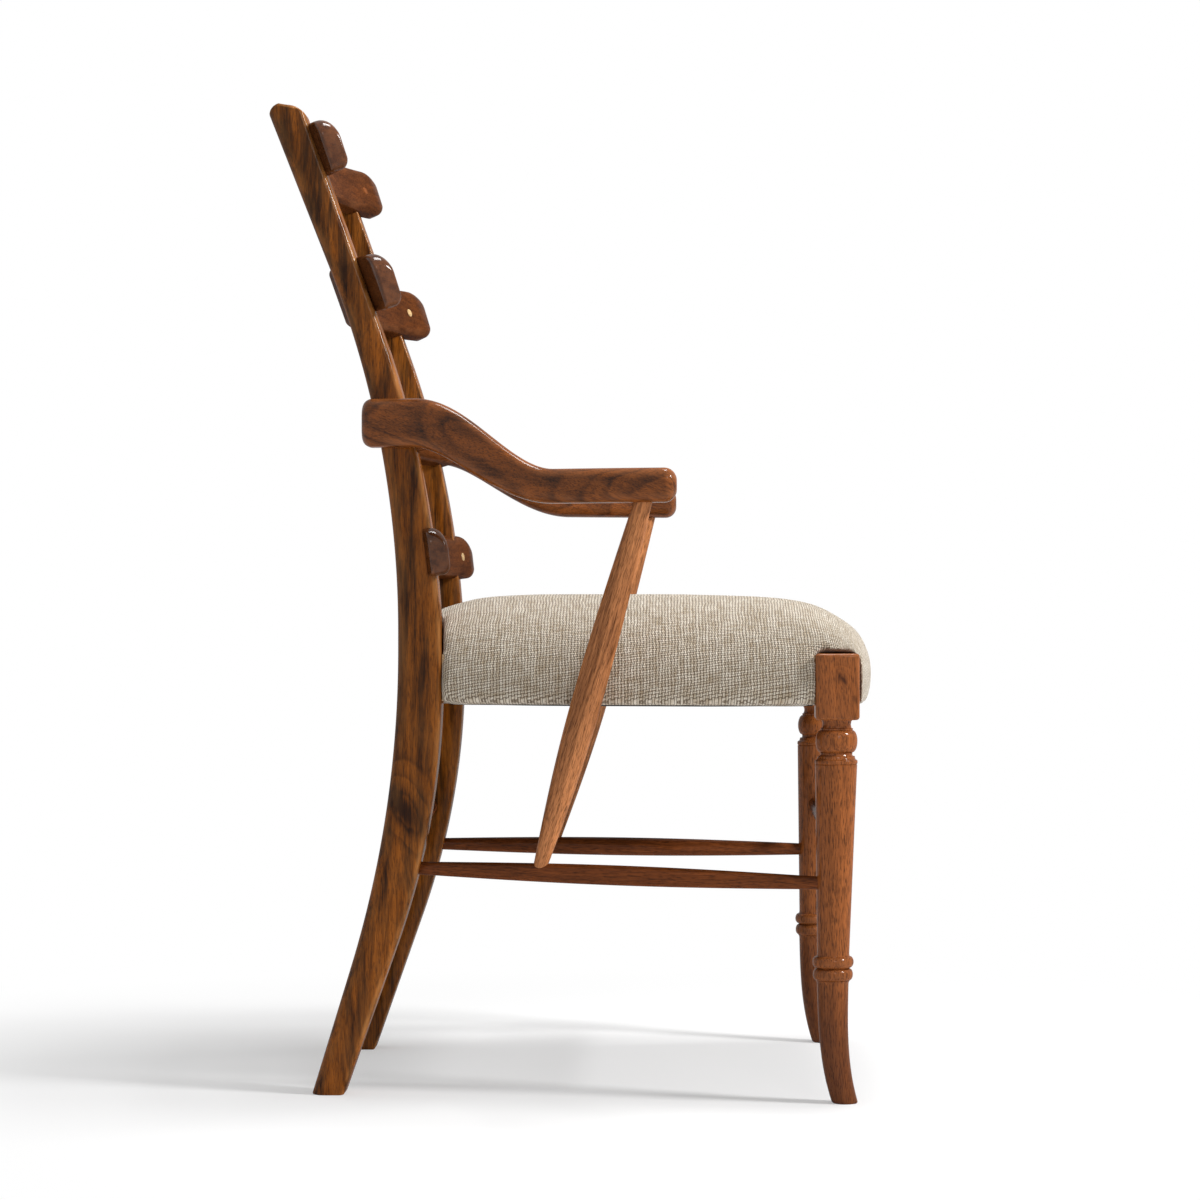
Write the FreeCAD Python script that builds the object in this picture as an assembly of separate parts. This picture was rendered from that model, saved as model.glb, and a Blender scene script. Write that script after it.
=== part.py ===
import FreeCAD, Part
import math
import os

# Ladder back armchair. Millimetres, +Z up, the sitter faces -Y and the sitter's left is +X.
# Pieces of a pair are drawn on the left and mirrored to the right.
Vec = FreeCAD.Vector
left_right = (("left", 1), ("right", -1))

# Fits
joint_gap = 0.2
soft_gap = 0.4

# How finely round forms are worked
turning_side_count = 18
pin_side_count = 14
slat_spans = 14
post_levels = 32
turning_tapers = 8
bead_steps = 6
edge_steps = 3
corner_steps = 4
front_bow_steps = 4

# Back posts: a sabre rear leg and a raked post sawn from one plank
post_height = 1050.0
post_centre_x = 196.0
post_width = 42.0
post_front_y = 138.4
post_waist_depth = 47.1
post_front_waist_z = 440.0
post_rear_waist_low_z = 470.0
post_rear_waist_high_z = 490.0
post_front_low_radius = 850.0
post_front_low_lean = 19.4
post_front_high_radius = 1100.0
post_front_high_lean = 19.5
post_rear_low_radius = 1150.0
post_rear_low_lean = 17.0
post_rear_high_radius = 1060.0
post_rear_high_lean = 21.5
post_top_rear_drop = 10.0
post_top_front_drop = 10.0
post_outer_rear_round = 14.0
post_outer_front_round = 6.0

# Ladder slats, bent in plan and let into the fronts of the posts
lumbar_slat_z = 575.0
top_slat_drop = 46.0
slat_thickness = 21.0
slat_front_top_round = 15.0
slat_front_low_round = 8.0
slat_back_round = 3.5
slat_end_round = 3.0
slat_tip_top_round = 17.0
slat_tip_low_round = 9.0
middle_slat_drop = 9.0
slat_end_steps = (0.0, 0.14, 0.47, 1.0)
slat_overhang = 15.0
lumbar_slat_height = 51.0
middle_slat_height = 55.0
upper_slat_height = 60.0
top_slat_height = 57.0
lumbar_slat_bow = 36.0
middle_slat_bow = 46.0
upper_slat_bow = 62.0
top_slat_bow = 48.0
lumbar_slat_proud = 6.7
middle_slat_proud = 15.0
upper_slat_proud = 18.0
top_slat_proud = 16.5

# Pegs through the slat ends
peg_diameter = 9.5
peg_length = 28.0

# Arms: sawn to an S in side view and swept outwards in plan
arm_front_y = -110.0
arm_rear_y = 222.0
arm_front_mid_z = 641.5
arm_rear_mid_z = 710.0
arm_front_height = 35.5
arm_rear_height = 51.0
arm_rise_front_y = 18.0
arm_rise_rear_y = 168.0
arm_rear_width = 42.0
arm_front_width = 44.0
arm_front_centre_x = 320.0
arm_rear_housing = 18.0
arm_edge_round = 12.0
arm_nose_round = 13.0
arm_heel_round = 11.0
arm_body_sections = 10

# Dowels that pin the arms to the posts
arm_dowel_diameter = 8.0
arm_dowel_length = 34.0
arm_dowel_spacing = 22.0
arm_dowel_rear_edge = 11.0

# Arm supports: turned spindles from the side stretchers to the arms
support_low_y = 36.0
support_high_y = -75.0
support_low_radius = 6.5
support_belly_radius = 15.8
support_high_radius = 9.2
support_low_depth = 7.0
support_belly_share = 0.45
support_high_depth = 16.0

# Front legs
leg_inset = 28.0
leg_axis_y = -276.6
leg_lean = 0.9
leg_block_width = 45.5
leg_block_low_z = 399.0
leg_block_top_z = 468.0
leg_block_round = 3.5
leg_neck_radius = 15.0
leg_ball_radius = 21.8
leg_ball_low_z = 365.0
leg_ball_top_z = 388.0
leg_collar_radius = 16.8
leg_shaft_top_z = 354.0
leg_shaft_top_radius = 22.0
leg_shaft_mid_radius = 19.6
leg_ring_top_z = 153.0
leg_ring_height = 12.0
leg_ring_radius = 21.4
leg_lower_ring_radius = 20.8
leg_ankle_radius = 16.6
leg_foot_radius = 13.6
leg_foot_kick = 12.8
leg_foot_bend = 3.2
leg_foot_sections = 7
leg_bead_height = 7.0
leg_groove = 1.0

# Stretchers, all turned with swelled middles
side_stretcher_rear_z = 239.0
side_stretcher_front_z = 229.0
side_stretcher_end_radius = 6.6
side_stretcher_mid_radius = 10.6
cross_stretcher_z = 284.0
cross_stretcher_end_radius = 8.0
cross_stretcher_mid_radius = 11.0
stretcher_tenon = 19.0

# Seat rails
rail_low_z = 417.0
rail_top_z = 466.0
rail_thickness = 24.0
rail_tenon_thickness = 9.0
rail_tenon_shoulder = 7.0
rail_tenon_length = 17.0
side_rail_post_tenon_length = 13.0
back_rail_setback = 9.5
rail_inset = 9.0
front_rail_inset = 13.5

# Corner blocks and their screws
corner_block_low_z = 428.0
corner_block_height = 30.0
corner_block_leg = 62.0
screw_radius = 2.2
screw_head_radius = 4.2
screw_head_length = 3.2
screw_length = 36.0

# Seat upholstery
seat_low_z = 413.0
seat_crown = 117.0
seat_rear_half_width = 222.0
seat_front_half_width = 290.0
seat_front_corner_y = -302.0
seat_front_bow = 22.0
seat_corner_round = 26.0
crown_corner_share = 0.55
cover_thickness = 2.4
cover_hem_width = 26.0
webbing_width = 50.0
webbing_thickness = 1.5
lengthwise_webbing_count = 5
crosswise_webbing_count = 4
dust_cover_thickness = 0.8
dust_cover_margin = 9.0

# The crown of the seat, from its lower edge up: share of the crown's height, then how far
# the front, the sides and the back have drawn in by there
seat_levels = (
    (0.00, 3.5, 2.5, 2.5),
    (0.17, 0.0, 0.0, 0.0),
    (0.36, 2.5, 2.0, 1.0),
    (0.52, 11.0, 8.0, 4.0),
    (0.69, 28.0, 20.0, 10.0),
    (0.84, 53.0, 40.0, 21.0),
    (0.92, 75.0, 62.0, 46.0),
    (0.975, 117.0, 96.0, 82.0),
    (1.00, 190.0, 150.0, 132.0),
)

# Places worked out from the sizes above
post_inner_x = post_centre_x - post_width / 2
post_outer_x = post_centre_x + post_width / 2
post_rear_y = post_front_y + post_waist_depth
slat_pitch = (post_height - top_slat_drop - lumbar_slat_z) / 3
leg_centre_x = seat_front_half_width - leg_inset
arm_rear_centre_x = post_outer_x - arm_rear_housing + arm_rear_width / 2
seat_rear_y = post_front_y + back_rail_setback + rail_thickness + rail_inset
webbing_top_z = rail_top_z + 2 * webbing_thickness + joint_gap


def smooth_step(share):
    share = min(max(share, 0.0), 1.0)
    return share * share * (3 - 2 * share)


def between(low, high, share):
    return low + (high - low) * share


def mirrored(shape, sign):
    """A left-hand shape as it is, or its right-hand twin."""
    if sign > 0:
        return shape.copy()
    return shape.mirror(Vec(0, 0, 0), Vec(1, 0, 0))


def line(start, end):
    return Part.LineSegment(start, end).toShape()


def arc(start, middle, end):
    return Part.Arc(start, middle, end).toShape()


def prism(points, low_z, high_z):
    """An upright prism on a polygon of (x, y) corners."""
    corners = [Vec(x, y, low_z) for x, y in points]
    face = Part.Face(Part.makePolygon(corners + corners[:1]))
    return face.extrude(Vec(0, 0, high_z - low_z))


def polygon_face(points):
    return Part.Face(Part.makePolygon(points + points[:1]))


def panel(corners):
    """A four-cornered patch: one flat face, or two where its corners don't lie in a plane."""
    first, second, third, fourth = corners
    normal = (second - first).cross(third - first).normalize()
    flatness = 1e-8
    if abs(normal.dot(fourth - first)) < flatness:
        return [polygon_face(corners)]
    return [polygon_face([first, second, third]), polygon_face([first, third, fourth])]


def skin(loops):
    """A solid drawn through loops that have the same number of points."""
    faces = [polygon_face(loops[0]), polygon_face(loops[-1])]
    count = len(loops[0])
    for low, high in zip(loops, loops[1:]):
        for index in range(count):
            after = (index + 1) % count
            faces += panel([low[index], low[after], high[after], high[index]])
    return Part.makeSolid(Part.makeShell(faces))


def ring(centre, along, radius, flats):
    """A regular polygon round an axis: one level of a turned piece."""
    turn = FreeCAD.Rotation(Vec(0, 0, 1), along)
    points = []
    for index in range(flats):
        angle = 2 * math.pi * index / flats
        points.append(centre + turn.multVec(Vec(radius * math.cos(angle), radius * math.sin(angle), 0)))
    return points


def turned(start, along, levels, flats=turning_side_count):
    """A turned piece through levels of (distance from the start, radius) on its axis."""
    return skin([ring(start + along * distance, along, radius, flats) for distance, radius in levels])


def rod(start, end, radius, flats=pin_side_count):
    """A plain pin, or the bore for one."""
    along = (end - start).normalize()
    return turned(start, along, [(0.0, radius), ((end - start).Length, radius)], flats)


# Back posts


def sweep_y(z, waist_y, waist_z, radius, lean_degrees):
    """Y of a line that leaves its waist upright, bends back on an arc and then runs straight."""
    lean = math.radians(lean_degrees)
    rise = abs(z - waist_z)
    arc_rise = radius * math.sin(lean)
    if rise <= arc_rise:
        return waist_y + radius - math.sqrt(radius * radius - rise * rise)
    return waist_y + radius * (1 - math.cos(lean)) + (rise - arc_rise) * math.tan(lean)


def post_front(z):
    if z > post_front_waist_z:
        return sweep_y(z, post_front_y, post_front_waist_z, post_front_high_radius, post_front_high_lean)
    return sweep_y(z, post_front_y, post_front_waist_z, post_front_low_radius, post_front_low_lean)


def post_rear(z):
    if z > post_rear_waist_high_z:
        return sweep_y(z, post_rear_y, post_rear_waist_high_z, post_rear_high_radius, post_rear_high_lean)
    low_z = min(z, post_rear_waist_low_z)
    return sweep_y(low_z, post_rear_y, post_rear_waist_low_z, post_rear_low_radius, post_rear_low_lean)


def post_rake(z):
    """Lean of the post's front face, in degrees."""
    step = 1.0
    return math.degrees(math.atan((post_front(z + step) - post_front(z - step)) / (2 * step)))


def post_loop(z, grow):
    """A level section of the left post, with its outer corners rounded."""
    front_y = post_front(z) - grow
    rear_y = post_rear(z) + grow
    outer_x = post_outer_x + grow
    points = [Vec(post_inner_x - grow, front_y, z)]
    for size, y, quarter in ((post_outer_front_round, front_y + post_outer_front_round, -1),
                             (post_outer_rear_round, rear_y - post_outer_rear_round, 0)):
        for step in range(edge_steps + 1):
            angle = math.pi / 2 * (quarter + step / edge_steps)
            points.append(Vec(outer_x - size + size * math.cos(angle), y + size * math.sin(angle), z))
    return points + [Vec(post_inner_x - grow, rear_y, z)]


def post_blank(grow=0.0):
    """The left post before its joints are cut, grown all round where it is used as a cutter."""
    over_z = post_height + post_width
    loops = [post_loop(over_z * step / post_levels, grow) for step in range(post_levels + 1)]
    return skin(loops).cut(above_post(grow))


def above_post(grow):
    """Everything over the arched top of a post."""
    x = post_inner_x - post_width
    rear_z = post_height - post_top_rear_drop + grow
    front_z = post_height - post_top_front_drop + grow
    rear = Vec(x, post_rear(rear_z), rear_z)
    front = Vec(x, post_front(front_z), front_z)
    crest = Vec(x, (rear.y + front.y) / 2, post_height + grow)
    rear_out = Vec(x, rear.y + post_width, rear_z - post_width / 2)
    front_out = Vec(x, front.y - post_width, front_z - post_width / 2)
    lid = Vec(0, 0, 3 * post_width)
    outline = [line(front_out, front), arc(front, crest, rear), line(rear, rear_out)]
    outline += [line(rear_out, rear_out + lid), line(rear_out + lid, front_out + lid)]
    outline += [line(front_out + lid, front_out)]
    return Part.Face(Part.Wire(outline)).extrude(Vec(3 * post_width, 0, 0))


# Slats and their pegs


def slat_list():
    """Name, height above the floor, face height, bow, stand-off from the post and half length."""
    whole_half = post_outer_x + slat_overhang
    middle_z = lumbar_slat_z + slat_pitch - middle_slat_drop
    middle_top_z = middle_z + middle_slat_height / 2
    middle_half = arm_inner_x(post_front(middle_top_z) + slat_thickness / 4) - 2 * joint_gap
    return (
        ("lumbar_slat", lumbar_slat_z, lumbar_slat_height, lumbar_slat_bow, lumbar_slat_proud, whole_half),
        ("middle_slat", middle_z, middle_slat_height, middle_slat_bow, middle_slat_proud, middle_half),
        ("upper_slat", lumbar_slat_z + 2 * slat_pitch, upper_slat_height, upper_slat_bow,
         upper_slat_proud, whole_half),
        ("top_slat", lumbar_slat_z + 3 * slat_pitch, top_slat_height, top_slat_bow,
         top_slat_proud, whole_half),
    )


def slat_bend(z, bow, proud):
    """Radius of the slat's front face, and the Y of the upright axis that it bends about."""
    reach = post_outer_x + slat_overhang
    radius = (reach * reach + bow * bow) / (2 * bow)
    front_at_post = post_front(z) - proud
    return radius, front_at_post - math.sqrt(radius * radius - post_centre_x * post_centre_x)


def slat_section(half_width, top, low, front_top, front_low, back):
    """Points (back, up) round a slat: its front edges are rounder than its back ones."""
    corners = ((-1, -low, front_low, edge_steps), (1, -low, back, 1), (1, top, back, 1),
               (-1, top, front_top, edge_steps))
    points = []
    for quarter, (side, end, size, steps) in enumerate(corners):
        for step in range(steps + 1):
            angle = math.pi / 2 * (quarter + 2 + step / steps)
            points.append((side * (half_width - size) + size * math.cos(angle),
                           end - math.copysign(size, end) + size * math.sin(angle)))
    return points


def slat_loop(z, height, bow, proud, x, trim, top_trim, low_trim):
    """The raked cross-section of a slat at a reach from the middle, drawn in by its trims."""
    radius, axis_y = slat_bend(z, bow, proud)
    rake = math.radians(post_rake(z))
    axis = Vec(0, axis_y, 0)
    turn = FreeCAD.Rotation(Vec(0, 0, 1), -math.degrees(math.asin(x / radius)))
    across = Vec(0, math.cos(rake), -math.sin(rake))
    up = Vec(0, math.sin(rake), math.cos(rake))
    centre = Vec(0, radius + slat_thickness / 2 / math.cos(rake), z)
    rounds = [size - trim for size in (slat_front_top_round, slat_front_low_round, slat_back_round)]
    points = slat_section(slat_thickness / 2 - trim, height / 2 - top_trim, height / 2 - low_trim, *rounds)
    return [axis + turn.multVec(centre + across * back + up * high) for back, high in points]


def quarter_round(size, distance):
    """How far a round of some size has drawn in at a distance from the end."""
    inside = max(size - distance, 0.0)
    return size - math.sqrt(size * size - inside * inside)


def slat_board(z, height, bow, proud, half_length):
    """A whole slat. Its free tips are rounded, and tips that stop at the arms are only eased."""
    tip_rounds = (slat_end_round, slat_tip_top_round, slat_tip_low_round)
    if half_length < post_outer_x:
        tip_rounds = (slat_end_round, slat_end_round, slat_end_round)
    longest = max(tip_rounds)
    half = []
    for share in slat_end_steps:
        distance = share * longest
        half.append((half_length - distance, [quarter_round(size, distance) for size in tip_rounds]))
    body_reach = half_length - longest
    body = [(body_reach * (1 - 2 * step / slat_spans), (0.0, 0.0, 0.0)) for step in range(1, slat_spans)]
    stations = half + body + [(-x, trims) for x, trims in reversed(half)]
    return skin([slat_loop(z, height, bow, proud, x, *trims) for x, trims in stations])


def slat_notch(z, height, bow, proud, half_length):
    """What a slat takes out of the left post."""
    low_x = post_inner_x - slat_overhang
    high_x = half_length + slat_overhang
    gaps = (-joint_gap, -joint_gap, -joint_gap)
    return skin([slat_loop(z, height, bow, proud, between(low_x, high_x, step / 4), *gaps)
                 for step in range(5)])


def rounded_box(centre, across, up, width, height, corner):
    """A rectangle with its corners rounded in steps, in the plane of two directions."""
    points = []
    for quarter in range(4):
        sign_across = 1 if quarter in (0, 3) else -1
        sign_up = 1 if quarter in (0, 1) else -1
        middle = centre + across * (sign_across * (width / 2 - corner))
        middle = middle + up * (sign_up * (height / 2 - corner))
        for step in range(edge_steps + 1):
            angle = math.pi / 2 * (quarter + step / edge_steps)
            points.append(middle + across * (corner * math.cos(angle)) + up * (corner * math.sin(angle)))
    return points


def peg_place(z, bow, proud, x):
    """Where a left peg's face is flush with the slat, and the way it points into the post."""
    radius, axis_y = slat_bend(z, bow, proud)
    rake = math.radians(post_rake(z))
    plan_angle = math.asin(x / radius)
    face = Vec(x, axis_y + radius * math.cos(plan_angle), z)
    inward = Vec(math.sin(plan_angle) * math.cos(rake), math.cos(plan_angle) * math.cos(rake),
                 -math.sin(rake))
    return face, inward


# Arms


def arm_centre_x(y):
    """The arm leaves the post almost straight and sweeps outwards to the front."""
    share = (arm_rear_y - y) / (arm_rear_y - arm_front_y)
    sweep = (share + smooth_step(share)) / 2
    return between(arm_rear_centre_x, arm_front_centre_x, sweep)


def arm_width(y):
    share = (arm_rear_y - y) / (arm_rear_y - arm_front_y)
    return between(arm_rear_width, arm_front_width, share)


def arm_inner_x(y):
    return arm_centre_x(y) - arm_width(y) / 2


def arm_rise(y):
    return smooth_step((y - arm_rise_front_y) / (arm_rise_rear_y - arm_rise_front_y))


def arm_mid_z(y):
    return between(arm_front_mid_z, arm_rear_mid_z, arm_rise(y))


def arm_height(y):
    """The upright height that keeps the arm's thickness square to its sweep."""
    slope = (arm_mid_z(y + 1) - arm_mid_z(y - 1)) / 2
    return between(arm_front_height, arm_rear_height, arm_rise(y)) * math.hypot(1, slope)


def arm_section(y, inset):
    """A cross-section of the arm, drawn in on all sides near its ends."""
    width = arm_width(y) - 2 * inset
    height = arm_height(y) - 2 * inset
    centre = Vec(arm_centre_x(y), y, arm_mid_z(y))
    corner = min(arm_edge_round, 0.45 * width, 0.45 * height)
    return rounded_box(centre, Vec(1, 0, 0), Vec(0, 0, 1), width, height, corner)


def arm_blank():
    """The left arm before its joints are cut: rounded nose, S-shaped body and rounded heel."""
    nose_angles = (90, 60, 30)
    sections = []
    for angle in nose_angles:
        share = math.radians(angle)
        y = arm_front_y + arm_nose_round * (1 - math.sin(share))
        sections.append(arm_section(y, arm_nose_round * (1 - math.cos(share))))
    body_front = arm_front_y + arm_nose_round
    body_rear = arm_rear_y - arm_heel_round
    for index in range(arm_body_sections + 1):
        y = between(body_front, body_rear, index / arm_body_sections)
        sections.append(arm_section(y, 0.0))
    for angle in reversed(nose_angles):
        share = math.radians(angle)
        y = arm_rear_y - arm_heel_round * (1 - math.sin(share))
        sections.append(arm_section(y, arm_heel_round * (1 - math.cos(share))))
    return skin(sections)


def arm_under_z(y):
    return arm_mid_z(y) - arm_height(y) / 2


def arm_dowel_lines():
    """The dowels lie across the joint between the post's outer side and the arm."""
    half = arm_dowel_length / 2
    places = []
    for sign in (-1, 1):
        z = arm_rear_mid_z + sign * arm_dowel_spacing / 2
        y = post_rear(z) - arm_dowel_rear_edge
        places.append((Vec(post_outer_x - half, y, z), Vec(post_outer_x + half, y, z)))
    return places


# Turned pieces


def tenoned_stretcher(start, end, end_radius, mid_radius):
    """A swelled stretcher between two shoulders, with straight round tenons past them."""
    along = (end - start).normalize()
    length = (end - start).Length
    levels = [(-stretcher_tenon, end_radius)]
    for step in range(turning_tapers + 1):
        share = step / turning_tapers
        levels.append((share * length, between(end_radius, mid_radius, math.sin(math.pi * share))))
    levels.append((length + stretcher_tenon, end_radius))
    return turned(start, along, levels)


def stretcher_bores(start, end, radius):
    along = (end - start).normalize()
    deep = stretcher_tenon + joint_gap
    return Part.makeCompound([
        rod(start - along * deep, start + along * deep, radius + joint_gap, turning_side_count),
        rod(end - along * deep, end + along * deep, radius + joint_gap, turning_side_count),
    ])


def leg_y(z):
    """Y of the leaning axis of a front leg."""
    return leg_axis_y + (leg_block_low_z - z) * math.tan(math.radians(leg_lean))


def leg_radius(z):
    """Radius of the leg's tapered shaft."""
    share = (z - leg_ring_top_z) / (leg_shaft_top_z - leg_ring_top_z)
    return between(leg_ankle_radius, leg_shaft_top_radius, share)


def side_stretcher_line():
    rear_y = post_front(side_stretcher_rear_z)
    front_y = leg_y(side_stretcher_front_z) + leg_radius(side_stretcher_front_z)
    rear = Vec(post_centre_x, rear_y, side_stretcher_rear_z)
    return rear, Vec(leg_centre_x, front_y, side_stretcher_front_z)


def front_stretcher_line():
    reach = leg_centre_x - leg_radius(cross_stretcher_z)
    y = leg_y(cross_stretcher_z)
    return Vec(-reach, y, cross_stretcher_z), Vec(reach, y, cross_stretcher_z)


def back_stretcher_line():
    y = (post_front(cross_stretcher_z) + post_rear(cross_stretcher_z)) / 2
    return Vec(-post_inner_x, y, cross_stretcher_z), Vec(post_inner_x, y, cross_stretcher_z)


def support_line():
    """Axis of the arm support, from inside the stretcher to inside the arm."""
    rear, front = side_stretcher_line()
    share = (rear.y - support_low_y) / (rear.y - front.y)
    low = rear + (front - rear) * share
    high = Vec(arm_centre_x(support_high_y), support_high_y, arm_under_z(support_high_y))
    along = (high - low).normalize()
    return low - along * (support_low_depth / 2), high + along * support_high_depth


def support_radius(share):
    """Radius along an arm support: slim at the foot, fullest below the middle, slim at the top."""
    if share < support_belly_share:
        swell = math.sin(math.pi / 2 * share / support_belly_share)
        return between(support_low_radius, support_belly_radius, swell)
    fall = math.cos(math.pi / 2 * (share - support_belly_share) / (1 - support_belly_share))
    return between(support_high_radius, support_belly_radius, fall)


def arm_support():
    low, high = support_line()
    along = (high - low).normalize()
    length = (high - low).Length - support_high_depth
    levels = []
    for step in range(turning_tapers + 1):
        share = step / turning_tapers
        levels.append((share * length, support_radius(share)))
    levels.append((length + support_high_depth, support_high_radius))
    return turned(low, along, levels)


def support_bores():
    """The sockets for an arm support in its stretcher and in its arm."""
    low, high = support_line()
    along = (high - low).normalize()
    low_end = low - along * joint_gap
    low_mouth = low_end + along * side_stretcher_mid_radius * 2
    high_end = high + along * joint_gap
    high_mouth = high - along * support_high_depth * 2
    return (
        rod(low_end, low_mouth, support_socket_radius(), turning_side_count),
        rod(high_mouth, high_end, support_high_radius + joint_gap, turning_side_count),
    )


def support_socket_radius():
    """The lower end swells from its tip, so the socket fits it where it leaves the stretcher."""
    low, high = support_line()
    share = 1.5 * side_stretcher_mid_radius / (high - low).Length
    return support_radius(share) + joint_gap


def swell(low, high, edge_radius, full_radius):
    """Levels of a bead or a ball between two heights, full in the middle."""
    levels = []
    for step in range(bead_steps + 1):
        angle = math.pi * step / bead_steps
        z = between(low, high, (1 - math.cos(angle)) / 2)
        levels.append((z, between(edge_radius, full_radius, math.sin(angle))))
    return levels


def front_leg():
    """A square block over a turned shaft, with two ankle rings and a kicked sabre foot."""
    ring_low_z = leg_ring_top_z - leg_ring_height
    lower_ring_top_z = ring_low_z - leg_groove
    ankle_z = lower_ring_top_z - leg_ring_height
    shaft_mid_z = (leg_shaft_top_z + leg_ring_top_z) / 2
    rings = leg_foot(ankle_z)
    levels = swell(ankle_z, lower_ring_top_z, leg_ankle_radius, leg_lower_ring_radius)[1:]
    levels += swell(ring_low_z, leg_ring_top_z, leg_ankle_radius, leg_ring_radius)
    levels += [
        (shaft_mid_z, leg_shaft_mid_radius),
        (leg_shaft_top_z, leg_shaft_top_radius),
        (leg_shaft_top_z + leg_bead_height * 0.6, leg_shaft_top_radius),
        (leg_shaft_top_z + leg_bead_height, leg_collar_radius),
    ]
    levels += swell(leg_ball_low_z, leg_ball_top_z, leg_collar_radius, leg_ball_radius)
    levels += [
        (leg_ball_top_z + leg_groove * 2, leg_collar_radius),
        (leg_ball_top_z + leg_groove * 3, leg_neck_radius),
        (leg_block_low_z + leg_groove, leg_neck_radius),
    ]
    for z, radius in levels:
        rings.append(ring(Vec(leg_centre_x, leg_y(z), z), Vec(0, 0, 1), radius, turning_side_count))
    return skin(rings).fuse(leg_block(0.0))


def leg_block(grow):
    """The square block of a front leg with all its edges eased, grown where it is a cutter."""
    width = leg_block_width + 2 * grow
    low_z = leg_block_low_z - grow
    high_z = leg_block_top_z + grow
    loops = []
    for end_z, inward in ((low_z, 1), (high_z, -1)):
        eased = []
        for step in range(edge_steps):
            angle = math.pi / 2 * step / (edge_steps - 1)
            inset = leg_block_round * (1 - math.sin(angle))
            z = end_z + inward * leg_block_round * (1 - math.cos(angle))
            centre = Vec(leg_centre_x, leg_axis_y, z)
            eased.append(rounded_box(centre, Vec(1, 0, 0), Vec(0, 1, 0), width - 2 * inset,
                                     width - 2 * inset, leg_block_round))
        loops += eased if inward > 0 else eased[::-1]
    return skin(loops)


def leg_foot(ankle_z):
    """Rings that grow and kick back from the floor up to the ankle."""
    rings = []
    for index in range(leg_foot_sections + 1):
        share = 1 - index / leg_foot_sections
        y = leg_y(ankle_z) - leg_foot_kick * share ** leg_foot_bend
        centre = Vec(leg_centre_x, y, ankle_z * (1 - share))
        radius = between(leg_ankle_radius, leg_foot_radius, share)
        rings.append(ring(centre, Vec(0, 0, 1), radius, turning_side_count))
    return rings


# Seat rails


def seat_half_width(y):
    """Half the width of the covered seat at its lower edge."""
    share = (post_front_y - y) / (post_front_y - seat_front_corner_y)
    return between(seat_rear_half_width, seat_front_half_width, share)


def rail_tenon_box(start, along, length, grow):
    """A tenon that runs from a point on its shoulder along a level direction."""
    side = Vec(0, 0, 1).cross(along).normalize()
    half = rail_tenon_thickness / 2 + grow
    low = rail_low_z + rail_tenon_shoulder - grow
    high = rail_top_z - rail_tenon_shoulder + grow
    back = start - along * (rail_thickness / 2)
    tip = start + along * (length + grow)
    corners = [back - side * half, back + side * half, tip + side * half, tip - side * half]
    return prism([(corner.x, corner.y) for corner in corners], low, high)


def side_rail_line():
    """Rear and front ends of the left side rail's middle line, in plan."""
    inset = rail_inset + rail_thickness / 2
    rear_y = post_front_y
    front_y = leg_axis_y + leg_block_width / 2
    rear = Vec(seat_half_width(rear_y) - inset, rear_y, 0)
    return rear, Vec(seat_half_width(front_y) - inset, front_y, 0)


def side_rail_tenons(grow):
    rear, front = side_rail_line()
    along = (rear - front).normalize()
    rear_start = rear + Vec(-rail_thickness / 4, 0, 0)
    return [
        rail_tenon_box(rear_start, along, side_rail_post_tenon_length, grow),
        rail_tenon_box(front, along * -1, rail_tenon_length, grow),
    ]


def left_side_rail():
    rear, front = side_rail_line()
    half = rail_thickness / 2
    shoulder = joint_gap
    corners = [
        (rear.x - half, rear.y - shoulder),
        (rear.x + half, rear.y - shoulder),
        (front.x + half, front.y + shoulder),
        (front.x - half, front.y + shoulder),
    ]
    body = prism(corners, rail_low_z, rail_top_z)
    return body.fuse(side_rail_tenons(0.0)).removeSplitter()


def front_rail_reach():
    return leg_centre_x - leg_block_width / 2


def front_rail_y(x):
    """Front face of the front rail: inside the seat's bowed front."""
    share = x / seat_front_half_width
    return seat_front_corner_y - seat_front_bow * (1 - share * share) + front_rail_inset


def front_rail_tenons(grow):
    tenons = []
    for sign in (1, -1):
        start = Vec(sign * front_rail_reach(), front_rail_tenon_y(), 0)
        tenons.append(rail_tenon_box(start, Vec(sign, 0, 0), rail_tenon_length, grow))
    return tenons


def front_rail_tenon_y():
    return front_rail_y(front_rail_reach()) + rail_thickness / 2


def front_seat_rail(grow=0.0):
    reach = front_rail_reach() - joint_gap
    low_z = rail_low_z - grow
    points = []
    for offset in (-grow, rail_thickness + grow):
        points.append([Vec(x, front_rail_y(x) + offset, low_z) for x in (-reach, 0, reach)])
    front, back = points
    outline = [arc(*front), line(front[2], back[2]), arc(*back), line(back[0], front[0])]
    face = Part.Face(Part.Wire(Part.__sortEdges__(outline)))
    body = face.extrude(Vec(0, 0, rail_top_z - rail_low_z + 2 * grow))
    return body.fuse(front_rail_tenons(grow)).removeSplitter()


def back_rail_tenons(grow):
    y = post_front_y + back_rail_setback + rail_thickness / 2 + rail_tenon_thickness / 4
    return [rail_tenon_box(Vec(sign * post_inner_x, y, 0), Vec(sign, 0, 0), rail_tenon_length, grow)
            for sign in (1, -1)]


def back_seat_rail():
    reach = post_inner_x - joint_gap
    front_y = post_front_y + back_rail_setback
    corners = [(-reach, front_y), (reach, front_y), (reach, front_y + rail_thickness),
               (-reach, front_y + rail_thickness)]
    return prism(corners, rail_low_z, rail_top_z).fuse(back_rail_tenons(0.0)).removeSplitter()


# Corner blocks


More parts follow.
